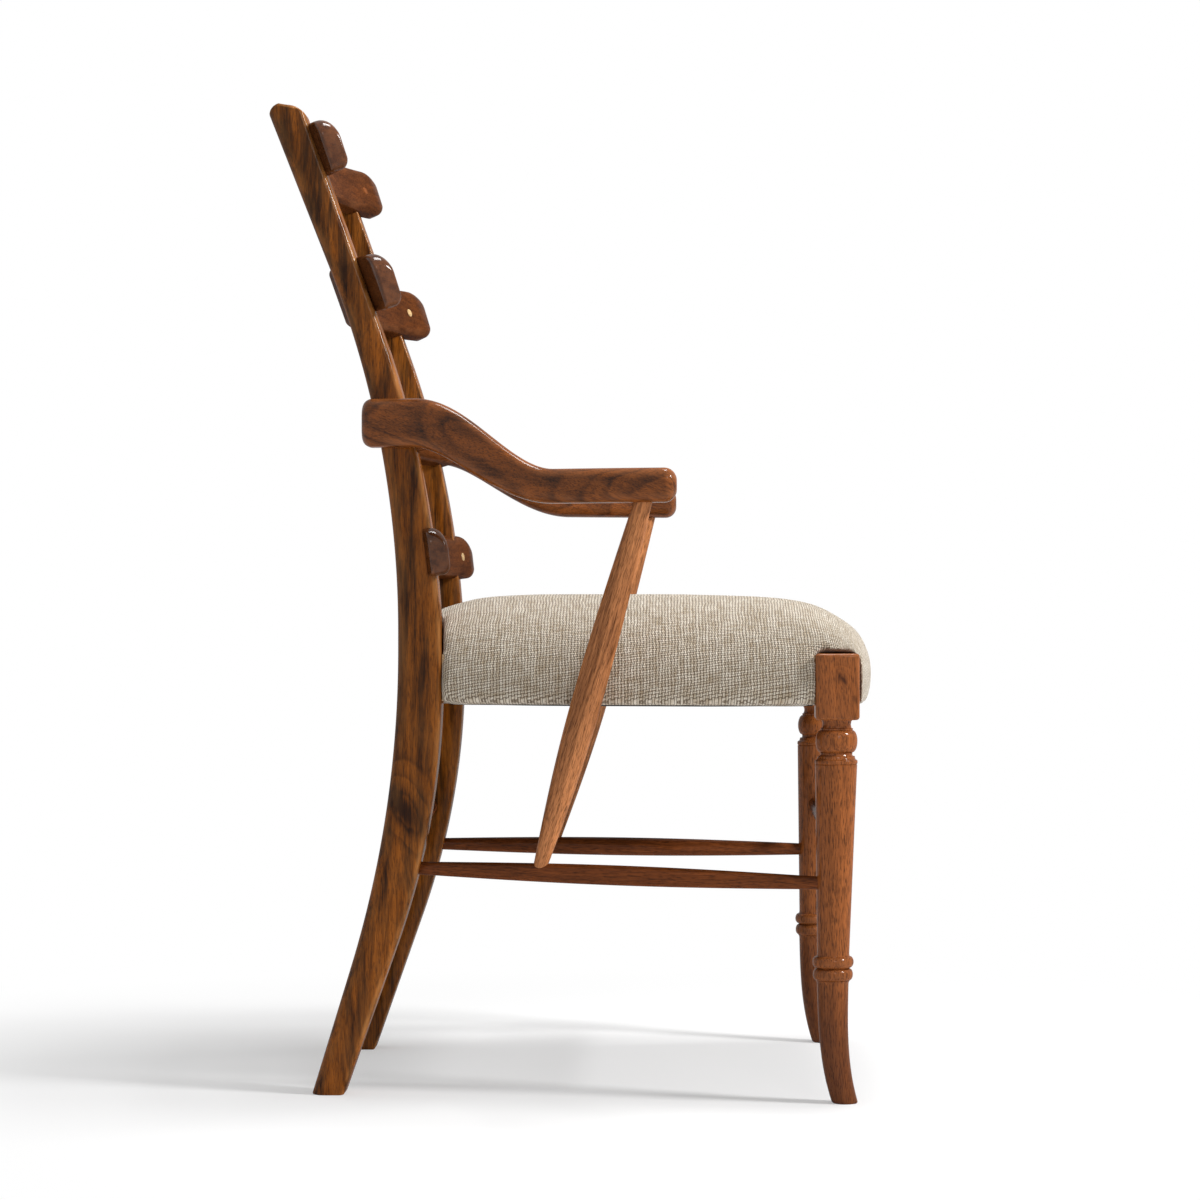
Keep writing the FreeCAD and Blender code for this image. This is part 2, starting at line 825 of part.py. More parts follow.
def corner_block_frames():
    """For the left front and left rear corners: the inner corner of the rails, and the
    level directions along the cross rail and along the side rail, away from the corner."""
    rear, front = side_rail_line()
    along = (front - rear).normalize()
    inner = Vec(-rail_thickness / 2, 0, 0)
    front_corner = front + inner
    cross_y = front_rail_y(front_corner.x - corner_block_leg / 2) + rail_thickness
    share = (cross_y - front_corner.y) / along.y
    front_corner = front_corner + along * share
    rear_corner = rear + inner
    share = (post_front_y + back_rail_setback - rear_corner.y) / along.y
    rear_corner = rear_corner + along * share
    return {
        "front": (front_corner, Vec(-1, 0, 0), along * -1),
        "rear": (rear_corner, Vec(-1, 0, 0), along),
    }


def corner_block(corner, cross, side, cutters):
    """A three-cornered glue block between a cross rail and a side rail."""
    inset = cross * joint_gap + side * joint_gap
    start = corner + inset
    points = [start, start + cross * corner_block_leg, start + side * corner_block_leg]
    low = corner_block_low_z
    block = prism([(point.x, point.y) for point in points], low, low + corner_block_height)
    return block.cut(cutters)


def corner_screw(corner, cross, side, grow):
    """A screw from the block's long face, square to it, towards the corner, or its hole."""
    centre = corner + (cross + side) * (corner_block_leg / 2)
    inward = ((cross + side) * -1).normalize()
    start = Vec(centre.x, centre.y, corner_block_low_z + corner_block_height / 2)
    levels = [
        (0.0, screw_head_radius + grow),
        (screw_head_length, screw_radius + grow),
        (screw_length + grow, screw_radius + grow),
    ]
    return turned(start, inward, levels, pin_side_count)


# Seat upholstery


def seat_outline(z, inset_front, inset_side, inset_back):
    """The seat in plan at one level: bowed front, straight sides and back, round corners."""
    front_y = seat_front_corner_y + inset_front
    back_y = seat_rear_y - inset_back
    half_front = seat_half_width(front_y) - inset_side
    half_back = seat_half_width(back_y) - inset_side
    corner = min(seat_corner_round + crown_corner_share * inset_side, 0.8 * half_back)
    bow = seat_front_bow * (half_front - corner) / half_front

    def front_at(x):
        share = x / half_front
        return Vec(x, front_y - bow * (1 - share * share), z)

    front_corner = Vec(half_front, front_y, z)
    back_corner = Vec(half_back, back_y, z)
    side = (front_corner - back_corner).normalize()
    half = rounded_corner(Vec(half_back - corner, back_y, z), back_corner, back_corner + side * corner)
    half += rounded_corner(front_corner - side * corner, front_corner, front_at(half_front - corner))
    for step in range(1, front_bow_steps):
        half.append(front_at((half_front - corner) * (1 - step / front_bow_steps)))
    other = [Vec(-point.x, point.y, z) for point in reversed(half)]
    return half + [front_at(0.0)] + other


def rounded_corner(start, corner, end):
    """Points of a smooth bend from one line to another."""
    points = []
    for step in range(corner_steps + 1):
        share = step / corner_steps
        points.append(start * (1 - share) ** 2 + corner * (2 * share * (1 - share)) + end * share ** 2)
    return points


def seat_form(inside):
    """The crowned seat, or a smaller one some way inside it."""
    sections = []
    crown = seat_crown - inside
    for height, front, side, back in seat_levels:
        z = seat_low_z + height * crown
        sections.append(seat_outline(z, front + inside, side + inside, back + inside))
    return skin(sections)


def seat_notches():
    """What the seat is cut around: the leg blocks and the posts, with the space outside them."""
    cutters = []
    beside_depth = 2 * post_waist_depth
    beside = Part.makeBox(seat_rear_half_width, beside_depth, seat_low_z,
                          Vec(post_centre_x, post_front_y + post_waist_depth / 4, seat_low_z - soft_gap))
    block_width = leg_block_width + 2 * soft_gap
    outside_block = Part.makeBox(leg_block_width, block_width, leg_block_top_z - leg_block_low_z + soft_gap,
                                 Vec(leg_centre_x, leg_axis_y - block_width / 2, leg_block_low_z))
    for sign in (1, -1):
        for cutter in (leg_block(soft_gap), outside_block, post_blank(soft_gap), beside):
            cutters.append(mirrored(cutter, sign))
    return cutters


def under_seat_prism(margin, low_z, high_z):
    """A straight-sided panel that follows the seat's plan inside a margin."""
    front_y = seat_front_corner_y + margin
    back_y = seat_rear_y - margin
    half_front = seat_half_width(front_y) - margin
    half_back = seat_half_width(back_y) - margin
    corners = [(-half_back, back_y), (half_back, back_y), (half_front, front_y), (-half_front, front_y)]
    return prism(corners, low_z, high_z)


def seat_cover(notches):
    outside = seat_form(0.0)
    hem_top = seat_low_z + cover_thickness
    hollow = seat_form(cover_thickness).cut(
        Part.makeBox(2 * seat_front_half_width * 2, post_height, cover_thickness,
                     Vec(-2 * seat_front_half_width, -post_height / 2, seat_low_z)))
    mouth = under_seat_prism(cover_hem_width, seat_low_z - cover_thickness, hem_top + cover_thickness)
    return outside.cut([hollow, mouth] + notches)


def seat_foam(notches):
    low = webbing_top_z + soft_gap
    everything_below = Part.makeBox(4 * seat_front_half_width, post_height, low,
                                    Vec(-2 * seat_front_half_width, -post_height / 2, 0))
    return seat_form(cover_thickness + soft_gap).cut([everything_below] + notches)


def lengthwise_webbing():
    back_y = post_front_y + back_rail_setback + rail_thickness * 0.75
    span = 2 * (post_inner_x - rail_thickness)
    step = (span - webbing_width) / (lengthwise_webbing_count - 1)
    straps = []
    for index in range(lengthwise_webbing_count):
        low_x = -span / 2 + index * step
        outer_x = max(abs(low_x), abs(low_x + webbing_width))
        front_y = front_rail_y(outer_x) + rail_thickness * 0.25
        straps.append(Part.makeBox(webbing_width, back_y - front_y, webbing_thickness,
                                   Vec(low_x, front_y, rail_top_z)))
    return straps


def crosswise_webbing():
    rear, front = side_rail_line()
    low_z = rail_top_z + webbing_thickness + joint_gap
    pitch = (rear.y - front.y) / crosswise_webbing_count
    straps = []
    for index in range(crosswise_webbing_count):
        low_y = front.y + (index + 0.5) * pitch - webbing_width / 2
        high_y = low_y + webbing_width
        reach = rail_inset + rail_thickness / 4
        half_low = seat_half_width(low_y) - reach
        half_high = seat_half_width(high_y) - reach
        corners = [(-half_low, low_y), (half_low, low_y), (half_high, high_y), (-half_high, high_y)]
        straps.append(prism(corners, low_z, low_z + webbing_thickness))
    return straps


# Assembly


def build_chair():
    pieces = {}
    slats = slat_list()
    post = post_blank()
    arm = arm_blank().cut(post_blank(joint_gap))
    leg = front_leg()
    notches = seat_notches()

    pegs = []
    for name, z, height, bow, proud, half_length in slats:
        slat = slat_board(z, height, bow, proud, half_length)
        post = post.cut(slat_notch(z, height, bow, proud, half_length))
        peg_x = post_centre_x if half_length > post_outer_x else (post_inner_x + half_length) / 2
        face, inward = peg_place(z, bow, proud, peg_x)
        peg = rod(face, face + inward * peg_length, peg_diameter / 2)
        bore = rod(face - inward * slat_thickness, face + inward * (peg_length + joint_gap),
                   peg_diameter / 2 + joint_gap)
        post = post.cut(bore)
        for side, sign in left_right:
            slat = slat.cut(mirrored(bore, sign))
            pegs.append(mirrored(peg, sign))
        pieces[name] = slat
    pieces["slat_pegs"] = Part.makeCompound(pegs)

    dowels = []
    for start, end in arm_dowel_lines():
        dowels.append(rod(start, end, arm_dowel_diameter / 2))
        reach = Vec(joint_gap, 0, 0)
        hole = rod(start - reach, end + reach, arm_dowel_diameter / 2 + joint_gap)
        arm = arm.cut(hole)
        post = post.cut(hole)
    pieces["arm_dowels"] = Part.makeCompound([mirrored(dowel, sign) for side, sign in left_right
                                              for dowel in dowels])

    side_line = side_stretcher_line()
    front_line = front_stretcher_line()
    back_line = back_stretcher_line()
    side_bores = stretcher_bores(*side_line, side_stretcher_end_radius)
    front_bores = stretcher_bores(*front_line, cross_stretcher_end_radius)
    back_bores = stretcher_bores(*back_line, cross_stretcher_end_radius)
    stretcher_socket, arm_socket = support_bores()
    side_stretcher = tenoned_stretcher(*side_line, side_stretcher_end_radius, side_stretcher_mid_radius)
    side_stretcher = side_stretcher.cut(stretcher_socket)
    arm = arm.cut(arm_socket)
    support = arm_support()
    pieces["front_stretcher"] = tenoned_stretcher(*front_line, cross_stretcher_end_radius,
                                                  cross_stretcher_mid_radius)
    pieces["back_stretcher"] = tenoned_stretcher(*back_line, cross_stretcher_end_radius,
                                                 cross_stretcher_mid_radius)

    post = post.cut([side_bores, back_bores])
    post = post.cut([side_rail_tenons(joint_gap)[0], back_rail_tenons(joint_gap)[0]])
    leg = leg.cut([side_bores, front_bores])
    leg = leg.cut([side_rail_tenons(joint_gap)[1], front_rail_tenons(joint_gap)[0]])

    side_rail = left_side_rail()
    front_rail = front_seat_rail()
    back_rail = back_seat_rail()
    block_cutters = [leg_block(joint_gap), front_seat_rail(joint_gap), post_blank(joint_gap)]
    screws = []
    for end, (corner, cross, side_way) in corner_block_frames().items():
        hole = corner_screw(corner, cross, side_way, joint_gap)
        block = corner_block(corner, cross, side_way, block_cutters + [hole])
        screw = corner_screw(corner, cross, side_way, 0.0)
        side_rail = side_rail.cut(hole)
        leg = leg.cut(hole)
        post = post.cut(hole)
        for side, sign in left_right:
            front_rail = front_rail.cut(mirrored(hole, sign))
            back_rail = back_rail.cut(mirrored(hole, sign))
            pieces[side + "_" + end + "_corner_block"] = mirrored(block, sign)
            screws.append(mirrored(screw, sign))
    pieces["corner_block_screws"] = Part.makeCompound(screws)
    pieces["front_seat_rail"] = front_rail
    pieces["back_seat_rail"] = back_rail

    for side, sign in left_right:
        pieces[side + "_back_post"] = mirrored(post, sign)
        pieces[side + "_arm"] = mirrored(arm, sign)
        pieces[side + "_arm_support"] = mirrored(support, sign)
        pieces[side + "_front_leg"] = mirrored(leg, sign)
        pieces[side + "_side_stretcher"] = mirrored(side_stretcher, sign)
        pieces[side + "_seat_rail"] = mirrored(side_rail, sign)

    pieces["lengthwise_webbing"] = Part.makeCompound(lengthwise_webbing())
    pieces["crosswise_webbing"] = Part.makeCompound(crosswise_webbing())
    pieces["seat_foam"] = seat_foam(notches)
    pieces["seat_cover"] = seat_cover(notches)
    dust_low = seat_low_z - joint_gap - dust_cover_thickness
    pieces["dust_cover"] = under_seat_prism(dust_cover_margin, dust_low, seat_low_z - joint_gap).cut(notches)
    return pieces


def stand_on_origin(pieces):
    """Put the origin on the floor, under the middle of the chair's box."""
    boxes = [shape.optimalBoundingBox(False, False) for shape in pieces.values()]
    middle_x = (min(box.XMin for box in boxes) + max(box.XMax for box in boxes)) / 2
    middle_y = (min(box.YMin for box in boxes) + max(box.YMax for box in boxes)) / 2
    floor_z = min(box.ZMin for box in boxes)
    for shape in pieces.values():
        shape.translate(Vec(-middle_x, -middle_y, -floor_z))


chair = build_chair()
stand_on_origin(chair)
os.makedirs("parts", exist_ok=True)
for piece_name, piece in chair.items():
    piece.exportStep("parts/" + piece_name + ".step")
    print(piece_name, "solids", len(piece.Solids), "valid", piece.isValid(), "volume", round(piece.Volume))
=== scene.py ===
import math

import bmesh
import bpy
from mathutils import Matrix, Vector


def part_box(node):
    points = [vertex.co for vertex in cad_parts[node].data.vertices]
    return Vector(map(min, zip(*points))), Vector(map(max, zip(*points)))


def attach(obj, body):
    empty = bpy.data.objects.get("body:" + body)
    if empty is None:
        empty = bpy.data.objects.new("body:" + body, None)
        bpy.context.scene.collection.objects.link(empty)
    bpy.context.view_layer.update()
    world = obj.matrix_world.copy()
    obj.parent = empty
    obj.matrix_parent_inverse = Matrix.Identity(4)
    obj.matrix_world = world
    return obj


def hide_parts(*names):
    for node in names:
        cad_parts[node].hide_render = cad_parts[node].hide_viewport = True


# Ladder back armchair in walnut-brown wood with an oatmeal cloth seat. Sizes are millimetres, as in
# the part's own drawing, and meshes are metres. The sitter faces -Y and the sitter's left is +X.
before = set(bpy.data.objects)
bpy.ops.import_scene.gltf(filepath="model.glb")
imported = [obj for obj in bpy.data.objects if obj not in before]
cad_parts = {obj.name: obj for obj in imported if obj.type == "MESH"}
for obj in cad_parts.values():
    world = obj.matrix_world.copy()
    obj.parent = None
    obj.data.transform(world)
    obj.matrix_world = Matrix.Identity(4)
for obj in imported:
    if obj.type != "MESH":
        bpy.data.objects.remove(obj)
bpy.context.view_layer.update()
mm = 0.001
left_right = (("left", 1), ("right", -1))

# Back posts
post_height = 1050.0
post_centre_x = 196.0
post_width = 42.0
post_inner_x = post_centre_x - post_width / 2
post_outer_x = post_centre_x + post_width / 2
post_front_y = 138.4
post_front_waist_z = 440.0
post_rear_y = 185.5
post_rear_waist_low_z = 470.0
post_rear_waist_high_z = 490.0
# radius and lean in degrees of the bends below and above the waist
post_front_bends = ((850.0, 19.4), (1100.0, 19.5))
post_rear_bends = ((1150.0, 17.0), (1060.0, 21.5))
post_crest_drop = 10.0
post_rounds = (2.2, 6.0, 14.0, 3.0)
post_top_round = 2.4
post_steps = 120

# Slats and their pegs
slat_thickness = 21.0
slat_overhang = 15.0
slat_edge_rounds = (8.0, 3.5, 3.5, 15.0)
slat_end_round = 3.0
slat_tip_top_round = 17.0
slat_tip_low_round = 9.0
slat_end_steps = 12
slat_body_steps = 60
# name, height above the floor, face height, bow, stand-off from the post
slats = (
    ("lumbar_slat", 575.0, 51.0, 36.0, 6.7),
    ("middle_slat", 709.0, 55.0, 46.0, 15.0),
    ("upper_slat", 861.0, 60.0, 62.0, 18.0),
    ("top_slat", 1004.0, 57.0, 48.0, 16.5),
)
peg_radius = 4.75
peg_length = 27.5
peg_chamfer = 0.5

# Arms
arm_front_y = -110.0
arm_rear_y = 222.0
arm_front_mid_z = 641.5
arm_rear_mid_z = 710.0
arm_front_height = 35.5
arm_rear_height = 51.0
arm_rise_front_y = 18.0
arm_rise_rear_y = 168.0
arm_rear_centre_x = 220.0
arm_front_centre_x = 320.0
arm_rear_width = 42.0
arm_front_width = 44.0
arm_edge_round = 12.0
arm_nose_round = 13.0
arm_heel_round = 11.0
arm_end_steps = 9
arm_body_steps = 96

# Front legs
leg_centre_x = 262.0
leg_axis_y = -276.6
leg_lean = math.tan(math.radians(0.9))
leg_block_width = 45.5
leg_block_low_z = 399.0
leg_block_top_z = 468.0
leg_block_round = 3.5
leg_ankle_z = 128.0
leg_foot_kick = 12.8
leg_sides = 64
leg_shaft_radius = 18.7

# Stretchers and arm supports: radii at the start, at the belly and at the end. A socket is how deep
# a rod's end goes in.
cross_stretcher_z = 284.0
cross_stretcher_radii = (8.0, 11.0, 8.0)
front_stretcher_reach = leg_centre_x - 15.0
back_stretcher_reach = post_inner_x + 6.0
side_stretcher_rear_z = 239.0
side_stretcher_front_z = 229.0
side_stretcher_radii = (6.6, 10.6, 6.6)
side_stretcher_socket = 7.0
stretcher_belly_share = 0.5
support_low_y = 36.0
support_high_y = -75.0
support_radii = (6.5, 15.8, 9.2)
support_belly_share = 0.45
support_low_socket = 3.5
support_high_socket = 5.0

# Seat
seat_low_z = 413.0
seat_crown = 117.0
seat_rear_half_width = 222.0
seat_front_half_width = 290.0
seat_front_corner_y = -302.0
seat_rear_y = 180.9
seat_front_bow = 22.0
seat_corner_round = 26.0
seat_side_rear_y = post_front_y + 11.8
# share of the crown's height, then how far the front, sides and back have drawn in there
seat_levels = (
    (0.00, 1.0, 2.5, 2.5),
    (0.17, -3.3, 0.0, 0.0),
    (0.36, -4.0, 2.0, 1.0),
    (0.52, 0.0, 7.0, 4.0),
    (0.69, 10.5, 18.0, 10.0),
    (0.84, 34.0, 38.0, 21.0),
    (0.92, 59.0, 60.0, 46.0),
    (0.975, 106.0, 95.0, 82.0),
    (1.00, 190.0, 150.0, 132.0),
)
seat_level_steps = 48
seat_room = 2.5
block_clearance = 1.0
post_clearance = 0.8
# how far the cutter beside a post runs past the seat in X, Y and Z
cutter_past = (120.0, 60.0, 20.0)
seat_swell = 2.8
seat_sink = 1.0
seat_mesh_size = 5.5
swell_frames = 20
swell_smoothing = 30
# the cover is held near the leg blocks and along its lower edge
held_beside_block = 30.0
held_above_block = 4.0
held_edge = 8.0
held_fade = 60.0
fold_steps = 60
fold_lap = 12.0
fold_thickness = 5.0
fold_end_gap = 1.5
fold_behind_block = 5.0
fold_sunk = 1.7
dust_cloth_thickness = 0.7
dust_cloth_sag = 2.5
# how far the dust cloth stops inside the seat's front, sides and back
dust_cloth_margins = (54.0, 14.0, 48.0)
crease_angle = math.radians(42)

# The drawing was moved to stand its box on the origin
floor_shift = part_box("left_front_leg")[0].y / mm - (leg_axis_y - leg_block_width / 2)


def smooth_step(share):
    share = min(max(share, 0.0), 1.0)
    return share * share * (3 - 2 * share)


def between(low, high, share):
    return low + (high - low) * share


# Mesh making


def row_place(x, y, z):
    """A place of the drawing in metres, where the chair stands."""
    return Vector((x * mm, (y + floor_shift) * mm, z * mm))


def link_piece(name, data):
    piece = bpy.data.objects.new(name, data)
    bpy.context.scene.collection.objects.link(piece)
    return piece


def tidy_mesh(mesh, merge=0.0):
    """Turn the faces outwards, and mark the sharp edges."""
    work = bmesh.new()
    work.from_mesh(mesh)
    if merge:
        bmesh.ops.remove_doubles(work, verts=work.verts, dist=merge)
    bmesh.ops.recalc_face_normals(work, faces=work.faces)
    work.to_mesh(mesh)
    work.free()
    mesh.set_sharp_from_angle(angle=crease_angle)


def kept_mesh(piece):
    """Keep a piece's mesh as its modifiers leave it, and remove the modifiers."""
    bpy.context.view_layer.update()
    graph = bpy.context.evaluated_depsgraph_get()
    piece.data = bpy.data.meshes.new_from_object(piece.evaluated_get(graph))
    piece.modifiers.clear()


def change_mesh(piece, kind, **settings):
    """Change a piece's mesh with one modifier."""
    modifier = piece.modifiers.new(kind.lower(), kind)
    for name, value in settings.items():
        setattr(modifier, name, value)
    kept_mesh(piece)


def loft(name, *skins):
    """One piece at the origin from one or more closed skins. Each runs through its own loops of
    (x, y, z, edge weight), in millimetres, with each point's share of rubbing and painted highlight."""
    points, faces = [], []
    for loops in skins:
        count = len(loops[0])
        first = len(points)
        last = first + (len(loops) - 1) * count
        for low in range(first, last, count):
            for index in range(count):
                after = (index + 1) % count
                faces.append((low + index, low + after, low + count + after, low + count + index))
        faces.append(tuple(range(first + count - 1, first - 1, -1)))
        faces.append(tuple(range(last, last + count)))
        points += [point for loop in loops for point in loop]
    mesh = bpy.data.meshes.new(name)
    mesh.from_pydata([row_place(*point[:3]) for point in points], [], faces)
    worn_and_lit = mesh.attributes.new("wear_and_highlight", "FLOAT", "POINT")
    worn_and_lit.data.foreach_set("value", [point[3] for point in points])
    mesh.shade_smooth()
    tidy_mesh(mesh)
    return link_piece(name, mesh)


def sided(loops, sign):
    """Left-hand loops as they are, or for the right-hand twin."""
    return [[(sign * x, y, z, wear_and_highlight) for x, y, z, wear_and_highlight in loop] for loop in loops]


def rounded_section(low_u, high_u, low_v, high_v, rounds, steps=7):
    """Points (u, v, edge weight) round a rectangle, with a round for each corner from low u, low v on.
    The edge weight lightens the arrises as rubbing and painted highlight.
    """
    corners = ((low_u, low_v, 1, 1, 2), (high_u, low_v, -1, 1, 3), (high_u, high_v, -1, -1, 0),
               (low_u, high_v, 1, -1, 1))
    points = []
    for (u, v, in_u, in_v, quarter), size in zip(corners, rounds):
        for step in range(steps + 1):
            angle = math.pi / 2 * (quarter + step / steps)
            wear_and_highlight = math.sin(math.pi * (step + 0.5) / (steps + 1)) * min(1.0, 5.0 / size)
            points.append((u + in_u * size + size * math.cos(angle),
                           v + in_v * size + size * math.sin(angle), wear_and_highlight))
    return points


# Back posts


def sweep_y(z, waist_y, waist_z, radius, lean_degrees):
    """Y of a line that leaves its waist upright, bends back on an arc and then runs straight."""
    lean = math.radians(lean_degrees)
    rise = abs(z - waist_z)
    arc_rise = radius * math.sin(lean)
    if rise <= arc_rise:
        return waist_y + radius - math.sqrt(radius * radius - rise * rise)
    return waist_y + radius * (1 - math.cos(lean)) + (rise - arc_rise) * math.tan(lean)


def post_front(z):
    return sweep_y(z, post_front_y, post_front_waist_z, *post_front_bends[z > post_front_waist_z])


def post_rear(z):
    if z > post_rear_waist_high_z:
        return sweep_y(z, post_rear_y, post_rear_waist_high_z, *post_rear_bends[1])
    return sweep_y(min(z, post_rear_waist_low_z), post_rear_y, post_rear_waist_low_z, *post_rear_bends[0])


def post_rake(z):
    return math.atan((post_front(z + 1) - post_front(z - 1)) / 2)


def post_loop(share, drop, inset, shrink, worn_and_lit, grow=0.0):
    """A section of the left post at a share of its height. Its top follows an arched crest."""
    level = share * post_height
    depth = post_rear(level) - post_front(level)
    rounds = [max(size - inset * 0.5, 0.8) for size in post_rounds]
    section = rounded_section(post_inner_x + inset - grow, post_outer_x - inset + grow,
                              inset - grow, depth - inset + grow, rounds)
    loop = []
    for x, back, wear_and_highlight in section:
        x = between(post_centre_x, x, shrink)
        back = between(depth / 2, back, shrink)
        arch = (2 * back / depth - 1) ** 2
        z = share * (post_height - post_crest_drop * arch) - drop
        y = post_front(z) + (post_rear(z) - post_front(z)) * back / depth
        loop.append((x, y, z, max(wear_and_highlight, worn_and_lit)))
    return loop


def post_loops(grow=0.0):
    foot = [post_loop(0.0, 0.0, 1.6, 1.0, 0.6, grow), post_loop(0.0005, 0.0, 0.5, 1.0, 0.5, grow)]
    body = [post_loop(0.0016 + 0.996 * step / post_steps, 0.0, 0.0, 1.0, 0.0, grow)
            for step in range(post_steps + 1)]
    head = []
    for step in range(4):
        angle = math.pi / 2 * step / 3
        drop = post_top_round * (1 - math.sin(angle))
        head.append(post_loop(1.0, drop, post_top_round * (1 - math.cos(angle)), 1.0, 0.8, grow))
    cap = [post_loop(1.0, 0.0, post_top_round, shrink, 0.1, grow) for shrink in (0.75, 0.5, 0.25, 0.05)]
    return foot + body + head + cap


# Slats and arms


def slat_bend(z, bow, proud):
    """Radius of a slat's front face, and the Y of the upright axis that it bends about."""
    reach = post_outer_x + slat_overhang
    radius = (reach * reach + bow * bow) / (2 * bow)
    return radius, post_front(z) - proud - math.sqrt(radius * radius - post_centre_x ** 2)


def quarter_round(size, distance):
    """How far a round of some size has drawn in at a distance from the end."""
    inside = max(size - distance, 0.0)
    return size - math.sqrt(size * size - inside * inside)


def slat_half_length(name, height, z):
    """The middle slat stops at the arms, and the others run past the posts."""
    if name == "middle_slat":
        return arm_inner_x(post_front(z + height / 2) + slat_thickness / 4) - 0.4
    return post_outer_x + slat_overhang


def slat_loops(name, z, height, bow, proud):
    """A bent and raked slat. Its front edges are rounder than its back ones. Its free tips are
    rounded, and tips that stop at the arms are only eased."""
    radius, axis_y = slat_bend(z, bow, proud)
    half_length = slat_half_length(name, height, z)
    rake = post_rake(z)
    tip_rounds = (slat_end_round, slat_tip_top_round, slat_tip_low_round)
    if half_length < post_outer_x:
        tip_rounds = (slat_end_round, slat_end_round, slat_end_round)
    longest = max(tip_rounds)
    ends = [half_length - longest * (1 - math.cos(math.pi / 2 * step / slat_end_steps))
            for step in range(slat_end_steps + 1)]
    straight_half = half_length - longest
    body = [straight_half * (1 - 2 * step / slat_body_steps) for step in range(1, slat_body_steps)]
    loops = []
    for x in ends + body + [-x for x in reversed(ends)]:
        distance = half_length - abs(x)
        trim, top_trim, low_trim = [quarter_round(size, distance) for size in tip_rounds]
        rounds = [size - trim for size in slat_edge_rounds]
        half_depth = slat_thickness / 2 - trim
        section = rounded_section(-half_depth, half_depth, low_trim - height / 2, height / 2 - top_trim,
                                  rounds)
        worn_and_lit = 0.6 * max(0.0, 1 - distance / 4)
        angle = math.asin(x / radius)
        loop = []
        for back, up, wear_and_highlight in section:
            out = (radius + slat_thickness / 2 / math.cos(rake) + back * math.cos(rake)
                   + up * math.sin(rake))
            loop.append((out * math.sin(angle), axis_y + out * math.cos(angle),
                         z + up * math.cos(rake) - back * math.sin(rake), max(wear_and_highlight, worn_and_lit)))
        loops.append(loop)
    return loops


def arm_share(y):
    return (arm_rear_y - y) / (arm_rear_y - arm_front_y)


def arm_centre_x(y):
    share = arm_share(y)
    return between(arm_rear_centre_x, arm_front_centre_x, (share + smooth_step(share)) / 2)


def arm_width(y):
    return between(arm_rear_width, arm_front_width, arm_share(y))


def arm_inner_x(y):
    return arm_centre_x(y) - arm_width(y) / 2


def arm_rise(y):
    return smooth_step((y - arm_rise_front_y) / (arm_rise_rear_y - arm_rise_front_y))


def arm_mid_z(y):
    return between(arm_front_mid_z, arm_rear_mid_z, arm_rise(y))


def arm_height(y):
    """The upright height that keeps the arm's thickness square to its sweep."""
    slope = (arm_mid_z(y + 1) - arm_mid_z(y - 1)) / 2
    return between(arm_front_height, arm_rear_height, arm_rise(y)) * math.hypot(1, slope)


def arm_loop(y, inset, worn_and_lit):
    """A cross-section of the left arm, drawn in on all sides near its ends."""
    half_width = arm_width(y) / 2 - inset
    half_height = arm_height(y) / 2 - inset
    corner = min(arm_edge_round, 0.9 * half_width, 0.9 * half_height)
    section = rounded_section(-half_width, half_width, -half_height, half_height, [corner] * 4, 8)
    return [(arm_centre_x(y) + u, y, arm_mid_z(y) + v, max(wear_and_highlight, worn_and_lit)) for u, v, wear_and_highlight in section]


def arm_loops():
    turns = [math.pi / 2 * step / arm_end_steps for step in range(arm_end_steps)]

    def rounded_end(end_y, size):
        return [arm_loop(end_y + size * (1 - math.cos(turn)), abs(size) * (1 - math.sin(turn)), 0.25)
                for turn in turns]

    low_y = arm_front_y + arm_nose_round
    high_y = arm_rear_y - arm_heel_round
    body = [arm_loop(between(low_y, high_y, step / arm_body_steps), 0.0, 0.0)
            for step in range(arm_body_steps + 1)]
    heel = rounded_end(arm_rear_y, -arm_heel_round)[::-1]
    return rounded_end(arm_front_y, arm_nose_round) + body + heel


# Front legs


def leg_y(z):
    """Y of a front leg's leaning axis, which kicks forwards below the ankle."""
    if z < leg_ankle_z:
        return leg_y(leg_ankle_z) - leg_foot_kick * (1 - z / leg_ankle_z) ** 3.2
    return leg_axis_y + (leg_block_low_z - z) * leg_lean


def bead(low, high, edge, full, steps=14):
    """Levels (z, radius) of a round bead or ball."""
    levels = []
    for step in range(steps + 1):
        angle = math.pi * step / steps
        z = between(low, high, (1 - math.cos(angle)) / 2)
        levels.append((z, between(edge, full, math.sin(angle))))
    return levels


def straight(low, high, low_radius, high_radius, steps):
    return [(between(low, high, step / steps), between(low_radius, high_radius, step / steps))
            for step in range(steps + 1)]


def leg_levels():
    """The turned outline of a front leg from the floor up to its block, as heights and radii."""
    foot = [(0.0, 12.2), (0.6, 13.0), (1.8, 13.6)] + straight(4.0, 124.0, 13.65, 16.4, 40)
    ankle = [(126.0, 16.7), (127.5, 17.6)] + bead(128.0, 140.0, 17.4, 20.8) + [(140.5, 16.9)]
    ankle += bead(141.0, 153.0, 17.2, 21.4) + [(153.6, 17.0), (155.5, 16.7)]
    shaft = straight(158.0, 352.0, 16.75, 21.9, 50) + bead(352.6, 357.4, 21.2, 22.3, 8)
    collar = [(357.8, 20.2), (359.0, 19.6), (361.2, 19.2), (361.6, 17.2), (363.0, 16.5), (364.4, 16.9)]
    neck = [(388.6, 16.8), (390.0, 16.9), (390.6, 15.4), (394.0, 14.6), (397.4, 15.2), (400.5, 17.5)]
    return foot + ankle + shaft + collar + bead(365.0, 388.0, 16.6, 21.8, 22) + neck


